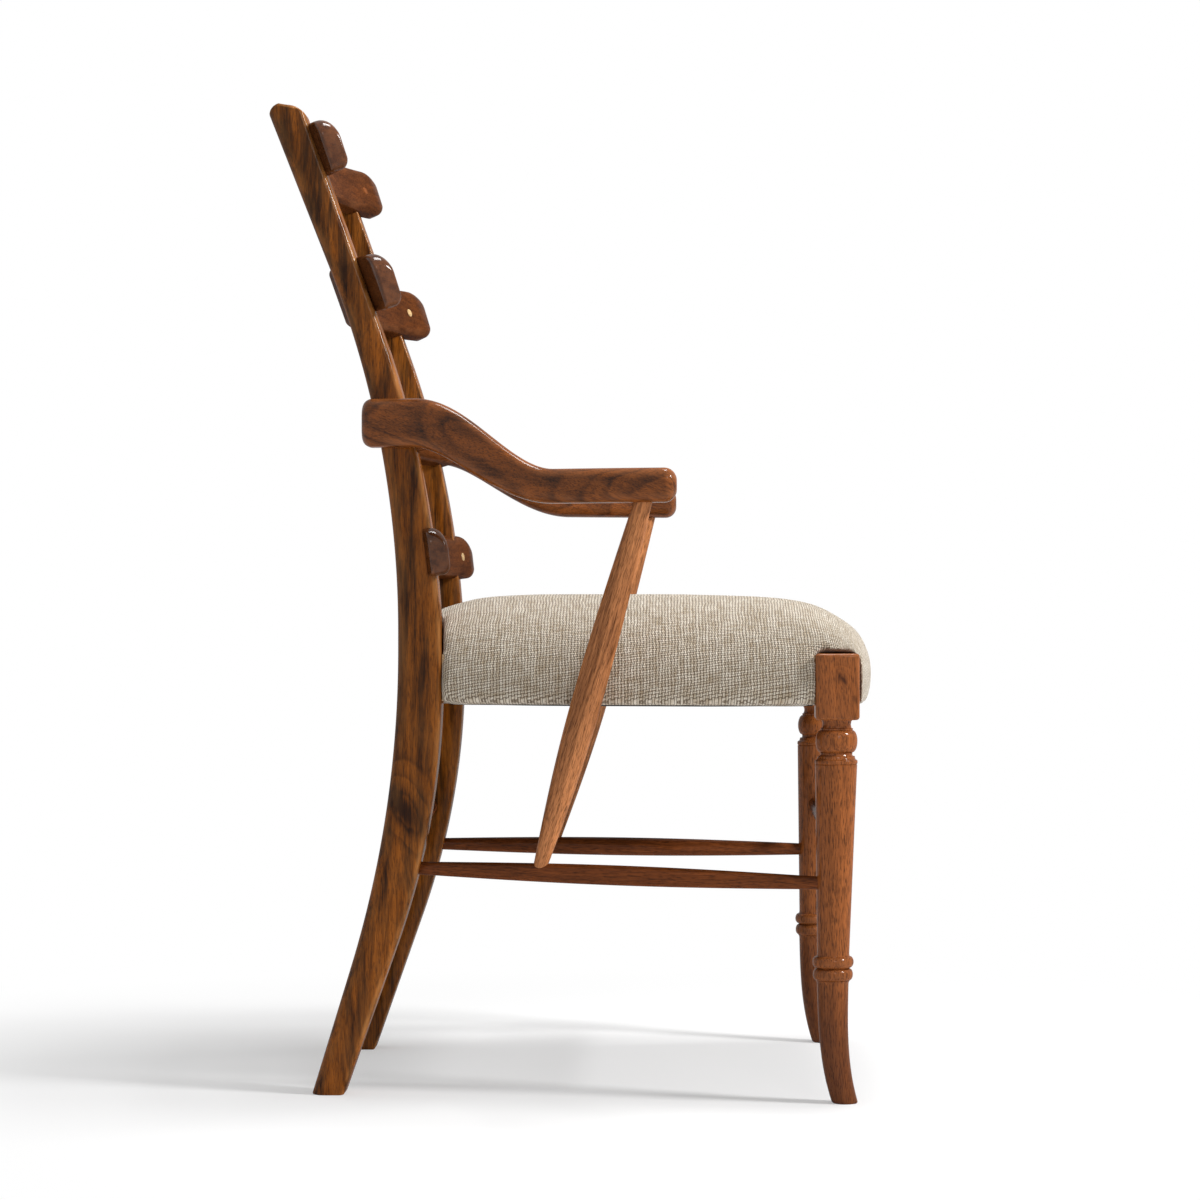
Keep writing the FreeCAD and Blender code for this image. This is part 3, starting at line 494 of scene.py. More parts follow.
def leg_loops():
    loops = []
    angles = [2 * math.pi * index / leg_sides for index in range(leg_sides)]
    for z, radius in leg_levels():
        worn_and_lit = 0.5 * smooth_step((radius - leg_taper(z) - 2.0) / 3.0)
        loops.append([(leg_centre_x + radius * math.cos(angle), leg_y(z) + radius * math.sin(angle), z,
                       worn_and_lit) for angle in angles])
    return loops


def leg_taper(z):
    """The radius of the plain shaft without its beads. What stands out from it gets the lighter edge
    colour, as rubbing and painted highlight.
    """
    return between(13.6, 22.0, z / 360.0)


def block_loops(grow=0.0):
    """The square block over a front leg, with all its edges eased."""
    half = leg_block_width / 2 + grow
    loops = []
    for end_z, way in ((leg_block_low_z - grow, 1), (leg_block_top_z + grow, -1)):
        eased = []
        for step in range(6):
            angle = math.pi / 2 * step / 5
            inset = leg_block_round * (1 - math.sin(angle))
            z = end_z + way * leg_block_round * (1 - math.cos(angle))
            section = rounded_section(-half + inset, half - inset, -half + inset, half - inset,
                                      [leg_block_round] * 4, 5)
            worn_and_lit = 0.8 * math.sin(math.pi * step / 5)
            eased.append([(leg_centre_x + u, leg_axis_y + v, z, max(wear_and_highlight, worn_and_lit))
                          for u, v, wear_and_highlight in section])
        loops += eased if way > 0 else eased[::-1]
    return loops


# Turned rods and pegs, made with Geometry Nodes


def set_inputs(tree, node, inputs):
    """Set a node's inputs, or link those whose value is another node's output."""
    for key, value in inputs.items():
        if isinstance(value, bpy.types.NodeSocket):
            tree.links.new(value, node.inputs[key])
        else:
            node.inputs[key].default_value = value


def add(tree, kind, inputs=None, **settings):
    """Add a node with its settings and inputs."""
    made = tree.nodes.new(kind)
    for name, value in settings.items():
        setattr(made, name, value)
    set_inputs(tree, made, inputs or {})
    return made


def calc(tree, operation, *values, clamp=False):
    """The result of a Math node."""
    return add(tree, "ShaderNodeMath", dict(enumerate(values)), operation=operation,
               use_clamp=clamp).outputs[0]


def times(tree, first, second):
    return calc(tree, "MULTIPLY", first, second)


def plus_share(tree, base, value, share, clamp=False):
    """A base with some share of a value added to it."""
    return calc(tree, "MULTIPLY_ADD", value, share, base, clamp=clamp)


def vector_calc(tree, operation, first, second):
    """The result of a Vector Math node."""
    return add(tree, "ShaderNodeVectorMath", {0: first, 1: second}, operation=operation).outputs[0]


def length(tree, vector):
    return add(tree, "ShaderNodeVectorMath", {0: vector}, operation="LENGTH").outputs["Value"]


def named_group(name, kind, inputs, outputs):
    """A new node group, with its input and output nodes."""
    group = bpy.data.node_groups.new(name, kind)
    for way, sockets in (("INPUT", inputs), ("OUTPUT", outputs)):
        for socket_name, socket_kind in sockets:
            group.interface.new_socket(socket_name, in_out=way, socket_type="NodeSocket" + socket_kind)
    return group, group.nodes.new("NodeGroupInput"), group.nodes.new("NodeGroupOutput")


def new_geometry_tree(name, sockets):
    geometry = (("Geometry", "Geometry"),)
    return named_group(name, "GeometryNodeTree", geometry + sockets, geometry)


def finish_geometry_tree(tree, made, given, result):
    """End a tree in Realize Instances and Set Material."""
    real = add(tree, "GeometryNodeRealizeInstances", {0: made})
    smooth = add(tree, "GeometryNodeSetShadeSmooth", {"Geometry": real.outputs[0]})
    dressed = add(tree, "GeometryNodeSetMaterial",
                  {"Geometry": smooth.outputs[0], "Material": given.outputs["Material"]})
    tree.links.new(dressed.outputs[0], result.inputs[0])


def swelled_rod_tree():
    """A turned rod between two points, slim at its ends and fullest at its belly."""
    tree, given, result = new_geometry_tree("swelled_rod", (
        ("Start", "Vector"), ("End", "Vector"), ("Start Radius", "Float"), ("Belly Radius", "Float"),
        ("End Radius", "Float"), ("Belly Share", "Float"), ("Material", "Material")))
    axis = add(tree, "GeometryNodeCurvePrimitiveLine",
               {"Start": given.outputs["Start"], "End": given.outputs["End"]})
    rings = add(tree, "GeometryNodeResampleCurve", {"Curve": axis.outputs[0], "Count": 72})
    along = add(tree, "GeometryNodeSplineParameter").outputs["Factor"]
    belly = given.outputs["Belly Share"]
    first = add(tree, "ShaderNodeMapRange", {0: along, 1: 0.0, 2: belly, 3: 0.0, 4: 0.5}).outputs[0]
    second = add(tree, "ShaderNodeMapRange", {0: along, 1: belly, 2: 1.0, 3: 0.0, 4: 0.5}).outputs[0]
    swell = calc(tree, "SINE", times(tree, calc(tree, "ADD", first, second), math.pi))
    past = calc(tree, "GREATER_THAN", along, belly)
    ends = add(tree, "ShaderNodeMix", {0: past, 2: given.outputs["Start Radius"],
                                       3: given.outputs["End Radius"]}).outputs[0]
    radius = add(tree, "ShaderNodeMix", {0: swell, 2: ends, 3: given.outputs["Belly Radius"]}).outputs[0]
    outline = add(tree, "GeometryNodeCurvePrimitiveCircle", {"Resolution": 40, "Radius": 1.0})
    skin = add(tree, "GeometryNodeCurveToMesh", {"Curve": rings.outputs[0], "Scale": radius,
                                                 "Profile Curve": outline.outputs[0], "Fill Caps": True})
    finish_geometry_tree(tree, skin.outputs[0], given, result)
    return tree


def peg_tree():
    """A chamfered peg at each point, turned the way that the point's own vector says."""
    tree, given, result = new_geometry_tree("pegs", (
        ("Radius", "Float"), ("Length", "Float"), ("Chamfer", "Float"), ("Material", "Material")))
    radius, long, chamfer = [given.outputs[name] for name in ("Radius", "Length", "Chamfer")]
    shank = add(tree, "GeometryNodeMeshCylinder", {"Vertices": 28, "Radius": radius, "Depth": long})
    head = add(tree, "GeometryNodeMeshCone", {
        "Vertices": 28, "Radius Top": calc(tree, "SUBTRACT", radius, chamfer),
        "Radius Bottom": radius, "Depth": chamfer})
    sunk = add(tree, "ShaderNodeCombineXYZ", {"Z": times(tree, long, -0.5)})
    lowered = add(tree, "GeometryNodeTransform",
                  {"Geometry": shank.outputs[0], "Translation": sunk.outputs[0]})
    whole = add(tree, "GeometryNodeJoinGeometry")
    tree.links.new(lowered.outputs[0], whole.inputs[0])
    tree.links.new(head.outputs[0], whole.inputs[0])
    way = add(tree, "GeometryNodeInputNamedAttribute", {"Name": "way"}, data_type="FLOAT_VECTOR")
    turn = add(tree, "FunctionNodeAlignRotationToVector", {"Vector": way.outputs["Attribute"]}, axis="Z")
    spread = add(tree, "GeometryNodeInstanceOnPoints", {
        "Points": given.outputs["Geometry"], "Instance": whole.outputs[0], "Rotation": turn.outputs[0]})
    finish_geometry_tree(tree, spread.outputs[0], given, result)
    return tree


def made_by_tree(name, tree, base_mesh, values):
    """Run a tree with its named inputs, and keep the result as a plain mesh."""
    piece = link_piece(name, base_mesh)
    nodes = piece.modifiers.new("nodes", "NODES")
    nodes.node_group = tree
    for item in tree.interface.items_tree:
        if item.item_type == "SOCKET" and item.in_out == "INPUT" and item.name in values:
            nodes[item.identifier] = values[item.name]
    piece.update_tag()
    kept_mesh(piece)
    tidy_mesh(piece.data, 0.01 * mm)
    return piece


rod_tree = swelled_rod_tree()


def swelled_rod(name, start, end, radii, belly_share, material):
    start_radius, belly_radius, end_radius = [radius * mm for radius in radii]
    return made_by_tree(name, rod_tree, bpy.data.meshes.new(name), {
        "Start": row_place(*start), "End": row_place(*end), "Start Radius": start_radius,
        "Belly Radius": belly_radius, "End Radius": end_radius, "Belly Share": belly_share,
        "Material": material})


def peg_piece(name, names, material):
    """The pegs of the named slats, flush with their faces."""
    places, ways = [], []
    for slat_name, z, height, bow, proud in slats:
        if slat_name not in names:
            continue
        radius, axis_y = slat_bend(z, bow, proud)
        half_length = slat_half_length(slat_name, height, z)
        x = post_centre_x if half_length > post_outer_x else (post_inner_x + half_length) / 2
        angle, rake = math.asin(x / radius), post_rake(z)
        for side, sign in left_right:
            places.append(row_place(sign * x, axis_y + radius * math.cos(angle), z))
            ways.append((-sign * math.sin(angle) * math.cos(rake), -math.cos(angle) * math.cos(rake),
                         math.sin(rake)))
    mesh = bpy.data.meshes.new(name)
    mesh.from_pydata(places, [], [])
    way = mesh.attributes.new("way", "FLOAT_VECTOR", "POINT")
    way.data.foreach_set("vector", [part for vector in ways for part in vector])
    return made_by_tree(name, peg_tree(), mesh, {
        "Radius": peg_radius * mm, "Length": peg_length * mm, "Chamfer": peg_chamfer * mm,
        "Material": material})


# Shader groups


def cloud(tree, vector, detail=2.0, roughness=0.5):
    return add(tree, "ShaderNodeTexNoise", {"Vector": vector, "Scale": 1.0, "Detail": detail,
                                            "Roughness": roughness})


def grain_cloud(tree, vector, across, along, detail=2.0, roughness=0.5):
    """Noise with its own scale across and along the grain."""
    stretched = vector_calc(tree, "MULTIPLY", vector, (across, across, along))
    return cloud(tree, stretched, detail, roughness).outputs[0]


def object_place(tree):
    return add(tree, "ShaderNodeTexCoord").outputs["Object"]


def bump(tree, height, strength, distance):
    return add(tree, "ShaderNodeBump",
               {"Height": height, "Strength": strength, "Distance": distance}).outputs[0]


def yarn_wave(tree, value, turn):
    """The round backs of yarns that lie side by side."""
    return calc(tree, "ABSOLUTE", calc(tree, "SINE", times(tree, value, turn)))


def ramp(tree, value, low, high):
    """0 at low and 1 at high, eased between them."""
    return add(tree, "ShaderNodeMapRange", {0: value, 1: low, 2: high, 3: 0.0, 4: 1.0},
               interpolation_type="SMOOTHSTEP").outputs[0]


def tint(tree, factor, first, second):
    return add(tree, "ShaderNodeMix", {0: factor, 6: first, 7: second}, data_type="RGBA",
               clamp_factor=True).outputs[2]


def grain_group():
    """Solid wood with its grain along Z: growth rings that bend round a knot, heart streaks,
    fine fibres and open pores."""
    group, given, result = named_group("wood_grain", "ShaderNodeTree", (
        ("Vector", "Vector"), ("Pale", "Color"), ("Dark", "Color"), ("Rings", "Float"),
        ("Ring Depth", "Float"), ("Streaks", "Float"), ("Pores", "Float"), ("Swirl", "Float"),
        ("Knot", "Vector"), ("Knot Size", "Float")),
        (("Color", "Color"), ("Roughness", "Float"), ("Height", "Float")))
    given = given.outputs
    place = given["Vector"]
    away = vector_calc(group, "SUBTRACT", place, given["Knot"])
    leaning = add(group, "ShaderNodeVectorRotate", {"Vector": away, "Angle": 0.6},
                  rotation_type="X_AXIS").outputs[0]
    squashed = vector_calc(group, "MULTIPLY", leaning, (1.0, 1.0, 0.40))
    near = calc(group, "DIVIDE", length(group, squashed), given["Knot Size"])
    knot = calc(group, "EXPONENT", times(group, times(group, near, near), -1.0))
    wander = cloud(group, vector_calc(group, "MULTIPLY", place, (9.0, 9.0, 3.4))).outputs["Color"]
    centred = vector_calc(group, "SUBTRACT", wander, (0.5, 0.5, 0.5))
    shift = add(group, "ShaderNodeVectorMath", {0: centred, "Scale": given["Swirl"]}, operation="SCALE")
    warped = vector_calc(group, "ADD", place, shift.outputs[0])
    heart = length(group, vector_calc(group, "MULTIPLY", warped, (1.0, 1.0, 0.0)))
    ring = plus_share(group, times(group, heart, given["Rings"]), knot, 3.2)
    ring = plus_share(group, ring, grain_cloud(group, place, 60.0, 5.0), 0.7)
    part = calc(group, "FRACT", ring)
    late = times(group, calc(group, "POWER", part, 2.2), ramp(group, part, 1.0, 0.80))
    broad = ramp(group, grain_cloud(group, warped, 62.0, 4.5, 4.0, 0.6), 0.32, 0.70)
    streak = ramp(group, grain_cloud(group, warped, 260.0, 9.0, 4.0, 0.62), 0.36, 0.66)
    fibre = grain_cloud(group, place, 1300.0, 40.0, 2.0, 0.6)
    pore = ramp(group, grain_cloud(group, place, 1050.0, 95.0, 2.0, 0.6), 0.48, 0.66)
    dark = times(group, late, given["Ring Depth"])
    dark = plus_share(group, dark, plus_share(group, broad, streak, 0.55), given["Streaks"])
    dark = plus_share(group, dark, calc(group, "POWER", knot, 9.0), 0.9)
    dark = plus_share(group, dark, calc(group, "SUBTRACT", fibre, 0.5), 0.9, clamp=True)
    colour = tint(group, dark, given["Pale"], given["Dark"])
    colour = tint(group, times(group, pore, given["Pores"]), colour, (0.010, 0.004, 0.002, 1))
    rough = plus_share(group, plus_share(group, 0.30, fibre, 0.14), pore, 0.22)
    height = plus_share(group, times(group, fibre, 0.35), pore, -0.8)
    set_inputs(group, result, {"Color": colour, "Roughness": rough, "Height": height})
    return group


def edge_group():
    """Lighter edges: where the edge attribute is high, the staining is thinner in places, and the same
    lighter colour also paints highlights along the arrises.
    """
    group, given, result = named_group("rubbed_and_lit_edges", "ShaderNodeTree", (
        ("Color", "Color"), ("Rubbed And Lit", "Color"), ("Vector", "Vector"), ("Amount", "Float")),
        (("Color", "Color"),))
    given = given.outputs
    # the edge mask is partly rubbing and partly painted highlight along the arrises
    wear_and_highlight = add(group, "ShaderNodeAttribute", attribute_name="wear_and_highlight").outputs["Fac"]
    patch = ramp(group, grain_cloud(group, given["Vector"], 90.0, 22.0, 3.0), 0.30, 0.68)
    mask = calc(group, "MULTIPLY", times(group, wear_and_highlight, patch), given["Amount"], clamp=True)
    set_inputs(group, result, {"Color": tint(group, mask, given["Color"], given["Rubbed And Lit"])})
    return group


grain = grain_group()
rubbed_and_lit_edges = edge_group()


def material_tree(name):
    material = bpy.data.materials.new(name)
    material.use_nodes = True
    tree = material.node_tree
    return material, tree, tree.nodes["Principled BSDF"]


def lacquered_wood(name, pale, dark, rubbed_and_lit, grain_way, heart, rings=150.0, ring_depth=0.28, streaks=0.55,
                   pores=0.55, wear_and_highlight=0.6, knot=(9.0, 9.0, 9.0), knot_size=0.03, swirl=0.045, coat=0.16,
                   painted_foot_shade=0.0, tip_polish=0.0):
    """Stained and lacquered wood with its grain along one way of the piece. heart is where the
    tree's middle lies beside the piece, the foot setting paints shade on it towards the floor,
    and tip_polish makes its tips glossier than the rest."""
    material, tree, shader = material_tree(name)
    place = object_place(tree)
    turn = Vector(grain_way).normalized().rotation_difference(Vector((0, 0, 1))).to_euler()
    turned = add(tree, "ShaderNodeMapping",
                 {"Vector": place, "Location": heart, "Rotation": turn}).outputs[0]
    wood = add(tree, "ShaderNodeGroup", node_tree=grain)
    set_inputs(tree, wood, {
        "Vector": turned, "Pale": pale, "Dark": dark, "Rings": rings, "Ring Depth": ring_depth,
        "Streaks": streaks, "Pores": pores, "Swirl": swirl, "Knot": knot, "Knot Size": knot_size})
    edges = add(tree, "ShaderNodeGroup", node_tree=rubbed_and_lit_edges)
    set_inputs(tree, edges, {
        "Color": wood.outputs["Color"], "Vector": turned, "Rubbed And Lit": rubbed_and_lit, "Amount": wear_and_highlight})
    axes = add(tree, "ShaderNodeSeparateXYZ", {0: place})
    # painted shade: the wood is darkened towards the floor, where less light reaches
    foot_shade_share = times(tree, ramp(tree, axes.outputs["Z"], 0.17, 0.06), painted_foot_shade)
    set_inputs(tree, shader, {
        "Base Color": tint(tree, foot_shade_share, edges.outputs[0], dark), "Roughness": wood.outputs["Roughness"],
        "Normal": bump(tree, wood.outputs["Height"], 0.22, 0.0006), "Specular IOR Level": 0.0,
        "Coat Weight": coat, "Coat Roughness": 0.11})
    if tip_polish:
        tips = ramp(tree, calc(tree, "ABSOLUTE", axes.outputs["X"]), 0.216, 0.234)
        set_inputs(tree, shader, {"Coat Weight": plus_share(tree, coat, tips, tip_polish)})
    return material


def slub_cloth():
    """Oatmeal slub linen: two sets of uneven yarns over and under each other. The cloth
    attribute gives how far along the weave each point lies, in metres."""
    material, tree, shader = material_tree("slub_linen")
    weave = add(tree, "ShaderNodeAttribute", attribute_name="cloth").outputs["Vector"]

    def weave_cloud(along_first, along_second):
        scaled = vector_calc(tree, "MULTIPLY", weave, (along_first, along_second, 0.0))
        return cloud(tree, scaled, 2.0, 0.6).outputs[0]

    yarn_wander = weave_cloud(42.0, 42.0)
    axes = add(tree, "ShaderNodeSeparateXYZ", {0: weave})
    waves, slubs, cells = [], [], []
    for axis, pitch, stretch in ((0, 0.0033, (300.0, 38.0)), (1, 0.0031, (38.0, 320.0))):
        turns = plus_share(tree, calc(tree, "DIVIDE", axes.outputs[axis], pitch), yarn_wander, 1.2)
        waves.append(yarn_wave(tree, turns, math.pi))
        cells.append(calc(tree, "FLOOR", turns))
        slubs.append(ramp(tree, weave_cloud(*stretch), 0.34, 0.66))
    bands = ramp(tree, weave_cloud(130.0, 14.0), 0.36, 0.64)
    over = calc(tree, "PINGPONG", calc(tree, "ADD", *cells), 1.0)
    under = calc(tree, "SUBTRACT", 1.0, over)
    first = times(tree, waves[0], plus_share(tree, 0.60, over, 0.40))
    second = times(tree, waves[1], plus_share(tree, 0.48, under, 0.46))
    top = calc(tree, "MAXIMUM", first, second)
    slub = calc(tree, "ADD", *slubs)
    pale = plus_share(tree, times(tree, slub, 0.40), bands, 0.20)
    colour = tint(tree, pale, (0.42, 0.325, 0.215, 1), (0.84, 0.772, 0.660, 1))
    # painted shade: the gaps between the yarns are darkened, where shade falls between them
    yarn_gap_shade = times(tree, ramp(tree, top, 0.86, 0.44), 0.86)
    set_inputs(tree, shader, {
        "Base Color": tint(tree, yarn_gap_shade, colour, (0.105, 0.070, 0.038, 1)),
        "Normal": bump(tree, plus_share(tree, top, slub, 0.4), 0.75, 0.0010), "Roughness": 0.92,
        "Sheen Weight": 0.25, "Sheen Roughness": 0.5, "Specular IOR Level": 0.2})
    return material


def plain_weave(name, pale, dark, pitch):
    """A coarse flat weave on Object coordinates, for the straps and the cloth under the seat."""
    material, tree, shader = material_tree(name)
    axes = add(tree, "ShaderNodeSeparateXYZ", {0: object_place(tree)}).outputs
    height = calc(tree, "MAXIMUM", *[yarn_wave(tree, axes[axis], math.pi / pitch) for axis in (0, 1)])
    set_inputs(tree, shader, {"Base Color": tint(tree, height, dark, pale), "Roughness": 0.9,
                              "Normal": bump(tree, height, 0.5, 0.0006)})
    return material


def brushed_steel():
    material, tree, shader = material_tree("screw_steel")
    scratch = grain_cloud(tree, object_place(tree), 1800.0, 120.0)
    colour = tint(tree, scratch, (0.36, 0.36, 0.37, 1), (0.62, 0.62, 0.63, 1))
    set_inputs(tree, shader, {"Base Color": colour, "Roughness": plus_share(tree, 0.25, scratch, 0.25),
                              "Metallic": 1.0})
    return material


# Seat


def seat_half_width(y):
    share = (post_front_y - y) / (post_front_y - seat_front_corner_y)
    return between(seat_rear_half_width, seat_front_half_width, share)


def seat_level(share):
    """The crown's table, eased between its levels."""
    index = min(int(share * (len(seat_levels) - 1)), len(seat_levels) - 2)
    part = share * (len(seat_levels) - 1) - index
    rows = [seat_levels[min(max(index + step, 0), len(seat_levels) - 1)] for step in (-1, 0, 1, 2)]
    values = []
    for before, low, high, after in zip(*rows):
        values.append(0.5 * (2 * low + (high - before) * part
                             + (2 * before - 5 * low + 4 * high - after) * part ** 2
                             + (3 * low - before - 3 * high + after) * part ** 3))
    return values


def bent_corner(start, corner, end, steps=9):
    return [start * (1 - share) ** 2 + corner * (2 * share * (1 - share)) + end * share ** 2
            for share in [step / steps for step in range(steps + 1)]]


def seat_loop(z, inset_front, inset_side, inset_back):
    front_y = seat_front_corner_y + inset_front
    back_y = seat_rear_y - inset_back
    half_front = seat_half_width(front_y) - inset_side
    half_back = seat_half_width(back_y) - inset_side
    corner = min(seat_corner_round + 0.55 * inset_side, 0.8 * half_back)
    bow = seat_front_bow * (half_front - corner) / half_front

    def front_at(x):
        return Vector((x, front_y - bow * (1 - (x / half_front) ** 2)))

    front_corner = Vector((half_front, front_y))
    back_corner = Vector((half_back, back_y))
    side = (front_corner - back_corner).normalized()
    half = bent_corner(Vector((half_back - corner, back_y)), back_corner, back_corner + side * corner)
    half += bent_corner(front_corner - side * corner, front_corner, front_at(half_front - corner))
    half += [front_at((half_front - corner) * (1 - step / 12)) for step in range(1, 12)]
    other = [Vector((-point.x, point.y)) for point in reversed(half)]
    return [(point.x, point.y, z, 0.0) for point in half + [front_at(0.0)] + other]


def seat_loops():
    """The seat's outline at each level, drawn in on all sides to leave room for the swell."""
    loops = []
    for step in range(seat_level_steps + 1):
        height, *insets = seat_level(step / seat_level_steps)
        z = seat_low_z + height * (seat_crown - seat_room)
        loops.append(seat_loop(z, *[inset + seat_room for inset in insets]))
    return loops


def box_loops(low, high):
    corners = ((low[0], low[1]), (high[0], low[1]), (high[0], high[1]), (low[0], high[1]))
    return [[(x, y, z, 0.0) for x, y in corners] for z in (low[2], high[2])]


def cut_seat(piece):
    """Cut the seat round the leg blocks and the posts, with the space beside the posts."""
    past_x, past_y, past_z = cutter_past
    beside = box_loops((post_centre_x, seat_side_rear_y, seat_low_z - past_z),
                       (post_centre_x + past_x, seat_rear_y + past_y, seat_low_z + seat_crown + past_z))
    for side, sign in left_right:
        for loops in (block_loops(block_clearance), post_loops(post_clearance), beside):
            cutter = loft(side + "_cutter", sided(loops, sign))
            change_mesh(piece, "BOOLEAN", operation="DIFFERENCE", solver="EXACT", object=cutter)
            bpy.data.objects.remove(cutter)


def swell_seat(piece):
    """Blow the cover out over its filling with Cloth, and hold it along its lower edge. The swell
    is then limited and evened out."""
    rest = [(vertex.co.copy(), vertex.normal.copy()) for vertex in piece.data.vertices]
    held = piece.vertex_groups.new(name="held")
    for vertex in piece.data.vertices:
        beside = max(abs(abs(vertex.co.x) - leg_centre_x * mm),
                     abs(vertex.co.y - (leg_axis_y + floor_shift) * mm))
        hold = 1 - smooth_step((vertex.co.z / mm - seat_low_z - held_edge) / held_fade)
        if beside < held_beside_block * mm and vertex.co.z < (leg_block_top_z + held_above_block) * mm:
            hold = 1.0
        held.add([vertex.index], hold, "REPLACE")
    cloth = piece.modifiers.new("cloth", "CLOTH")
    for name, value in (("quality", 4), ("mass", 0.3), ("tension_stiffness", 12.0),
                        ("compression_stiffness", 12.0), ("bending_stiffness", 0.8),
                        ("use_pressure", True), ("uniform_pressure_force", 4.0),
                        ("vertex_group_mass", "held")):
        setattr(cloth.settings, name, value)
    cloth.settings.effector_weights.gravity = 0.0
    cloth.point_cache.frame_start = 1
    cloth.point_cache.frame_end = swell_frames
    for step in range(1, swell_frames + 1):
        bpy.context.scene.frame_set(step)
    kept_mesh(piece)
    swell = [min(max((vertex.co - start).dot(out), -seat_sink * mm), seat_swell * mm)
             for vertex, (start, out) in zip(piece.data.vertices, rest)]
    for turn in range(swell_smoothing):
        total, count = list(swell), [1] * len(swell)
        for edge in piece.data.edges:
            first, second = edge.vertices
            total[first] += swell[second]
            total[second] += swell[first]
            count[first] += 1
            count[second] += 1
        swell = [value / number for value, number in zip(total, count)]
    for vertex, (start, out), amount in zip(piece.data.vertices, rest, swell):
        vertex.co = start + out * amount
    bpy.context.scene.frame_set(1)


def lay_weave(piece):
    """Write how the weave lies: level over the top, and down whichever wall is nearest."""
    crown = seat_low_z + seat_crown
    values = []
    for vertex in piece.data.vertices:
        x, y, z = vertex.co.x / mm, vertex.co.y / mm - floor_shift, vertex.co.z / mm
        half_width = seat_half_width(y)
        front_y = seat_front_corner_y - seat_front_bow * (1 - (x / half_width) ** 2)
        walls = [1 / (max(distance, 0.0) + 4) ** 2
                 for distance in (half_width - abs(x), y - front_y, seat_rear_y - y)]
        across = math.copysign(min(abs(x) / 60, 1.0), x) * walls[0] / sum(walls)
        along = (walls[2] - walls[1]) / sum(walls)
        drop = crown - z
        values += [(y + drop * along) * mm, (x + drop * across) * mm, vertex.co.z]
    cloth = piece.data.attributes.new("cloth", "FLOAT_VECTOR", "POINT")
    cloth.data.foreach_set("vector", values)


def side_inset(z):
    height = (z - seat_low_z) / seat_crown
    low, high = next(pair for pair in zip(seat_levels, seat_levels[1:]) if height <= pair[1][0])
    return between(low[2], high[2], (height - low[0]) / (high[0] - low[0]))


def tucked_fold(sign):
    """Loops of the roll of cloth that is tucked in behind a leg block, level with the seat's side."""
    block_rear_y = leg_axis_y + leg_block_width / 2
    lean = math.atan2(seat_front_half_width - seat_rear_half_width, post_front_y - seat_front_corner_y)
    loops = []
    for step in range(fold_steps + 1):
        share = step / fold_steps
        z = between(seat_low_z + fold_end_gap, leg_block_top_z - fold_end_gap, share)
        wave = math.sin(share * 23.0) * 0.5 + math.sin(share * 51.0 + 1.3) * 0.35
        size = 0.25 + 0.75 * math.sqrt(max(math.sin(math.pi * share), 0.0))
        centre_y = block_rear_y + fold_behind_block + wave
        centre_x = seat_half_width(centre_y) - side_inset(z) - fold_sunk - fold_thickness / 2
        loop = []
        for index in range(16):
            angle = 2 * math.pi * index / 16
            lap = math.cos(angle) * (fold_lap / 2 + 0.4 * wave) * size
            out = math.sin(angle) * fold_thickness / 2 * size
            loop.append((centre_x - lap * math.sin(lean) + out * math.cos(lean),
                         centre_y + lap * math.cos(lean) + out * math.sin(lean), z, 0.0))
        loops.append(loop)
    return sided(loops, sign)


def join_folds(piece):
    """Add the tucked folds to the seat's own mesh."""
    folds = loft("folds", *[tucked_fold(sign) for side, sign in left_right])
    work = bmesh.new()
    work.from_mesh(piece.data)
    work.from_mesh(folds.data)
    work.to_mesh(piece.data)
    work.free()
    bpy.data.objects.remove(folds)


def dust_cloth_loops():
    """The cloth under the seat, between the leg blocks and the posts. It is tight at its stapled
    edge and sags a little inside it."""
    insets = (0.0, 3.0, 9.0, 19.0, 31.0, 44.0, 57.0, 70.0)

    def ring(inset, thickness):
        z = seat_low_z + 0.5 - dust_cloth_sag * smooth_step(inset / insets[-1]) - thickness
        return seat_loop(z, *[inset + margin for margin in dust_cloth_margins])

    top = [ring(inset, 0.0) for inset in reversed(insets)]
    return top + [ring(inset, dust_cloth_thickness) for inset in insets]


def padded_seat():
    piece = loft("padded_seat", seat_loops())
    cut_seat(piece)
    change_mesh(piece, "REMESH", mode="VOXEL", voxel_size=seat_mesh_size * mm)
    change_mesh(piece, "SMOOTH", factor=0.5, iterations=4)
    swell_seat(piece)
    change_mesh(piece, "SUBSURF", levels=1, render_levels=1)
    join_folds(piece)
    lay_weave(piece)
    piece.data.shade_smooth()
    return piece


# Finishes
golden = (0.35, 0.101, 0.010, 1)
chestnut = (0.34, 0.104, 0.026, 1)
pale_chestnut = (0.62, 0.245, 0.092, 1)
plum_brown = (0.29, 0.082, 0.015, 1)
slat_brown = (0.12, 0.035, 0.009, 1)
dusky_chestnut = (0.21, 0.058, 0.015, 1)
near_black = (0.028, 0.008, 0.002, 1)
deep_brown = (0.060, 0.016, 0.005, 1)
plum_black = (0.022, 0.007, 0.003, 1)
# lighter edge colours: partly staining thinned by rubbing, partly painted highlight along the arrises
rubbed_and_lit_gold = (0.46, 0.20, 0.06, 1)
rubbed_and_lit_red = (0.36, 0.14, 0.055, 1)


def dress(piece, material, slot, *nodes):
    """Give a piece its finish and let it stand for its CAD nodes."""
    piece.data.materials.clear()
    piece.data.materials.append(material)
    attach(piece, "root")
    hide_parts(*nodes)
    return piece


def shaped_piece(name, material, slot, *skins):
    """A piece through its skins, in place of the CAD node that it is named for."""
    dress(loft(name + "_shaped", *skins), material, slot, name)


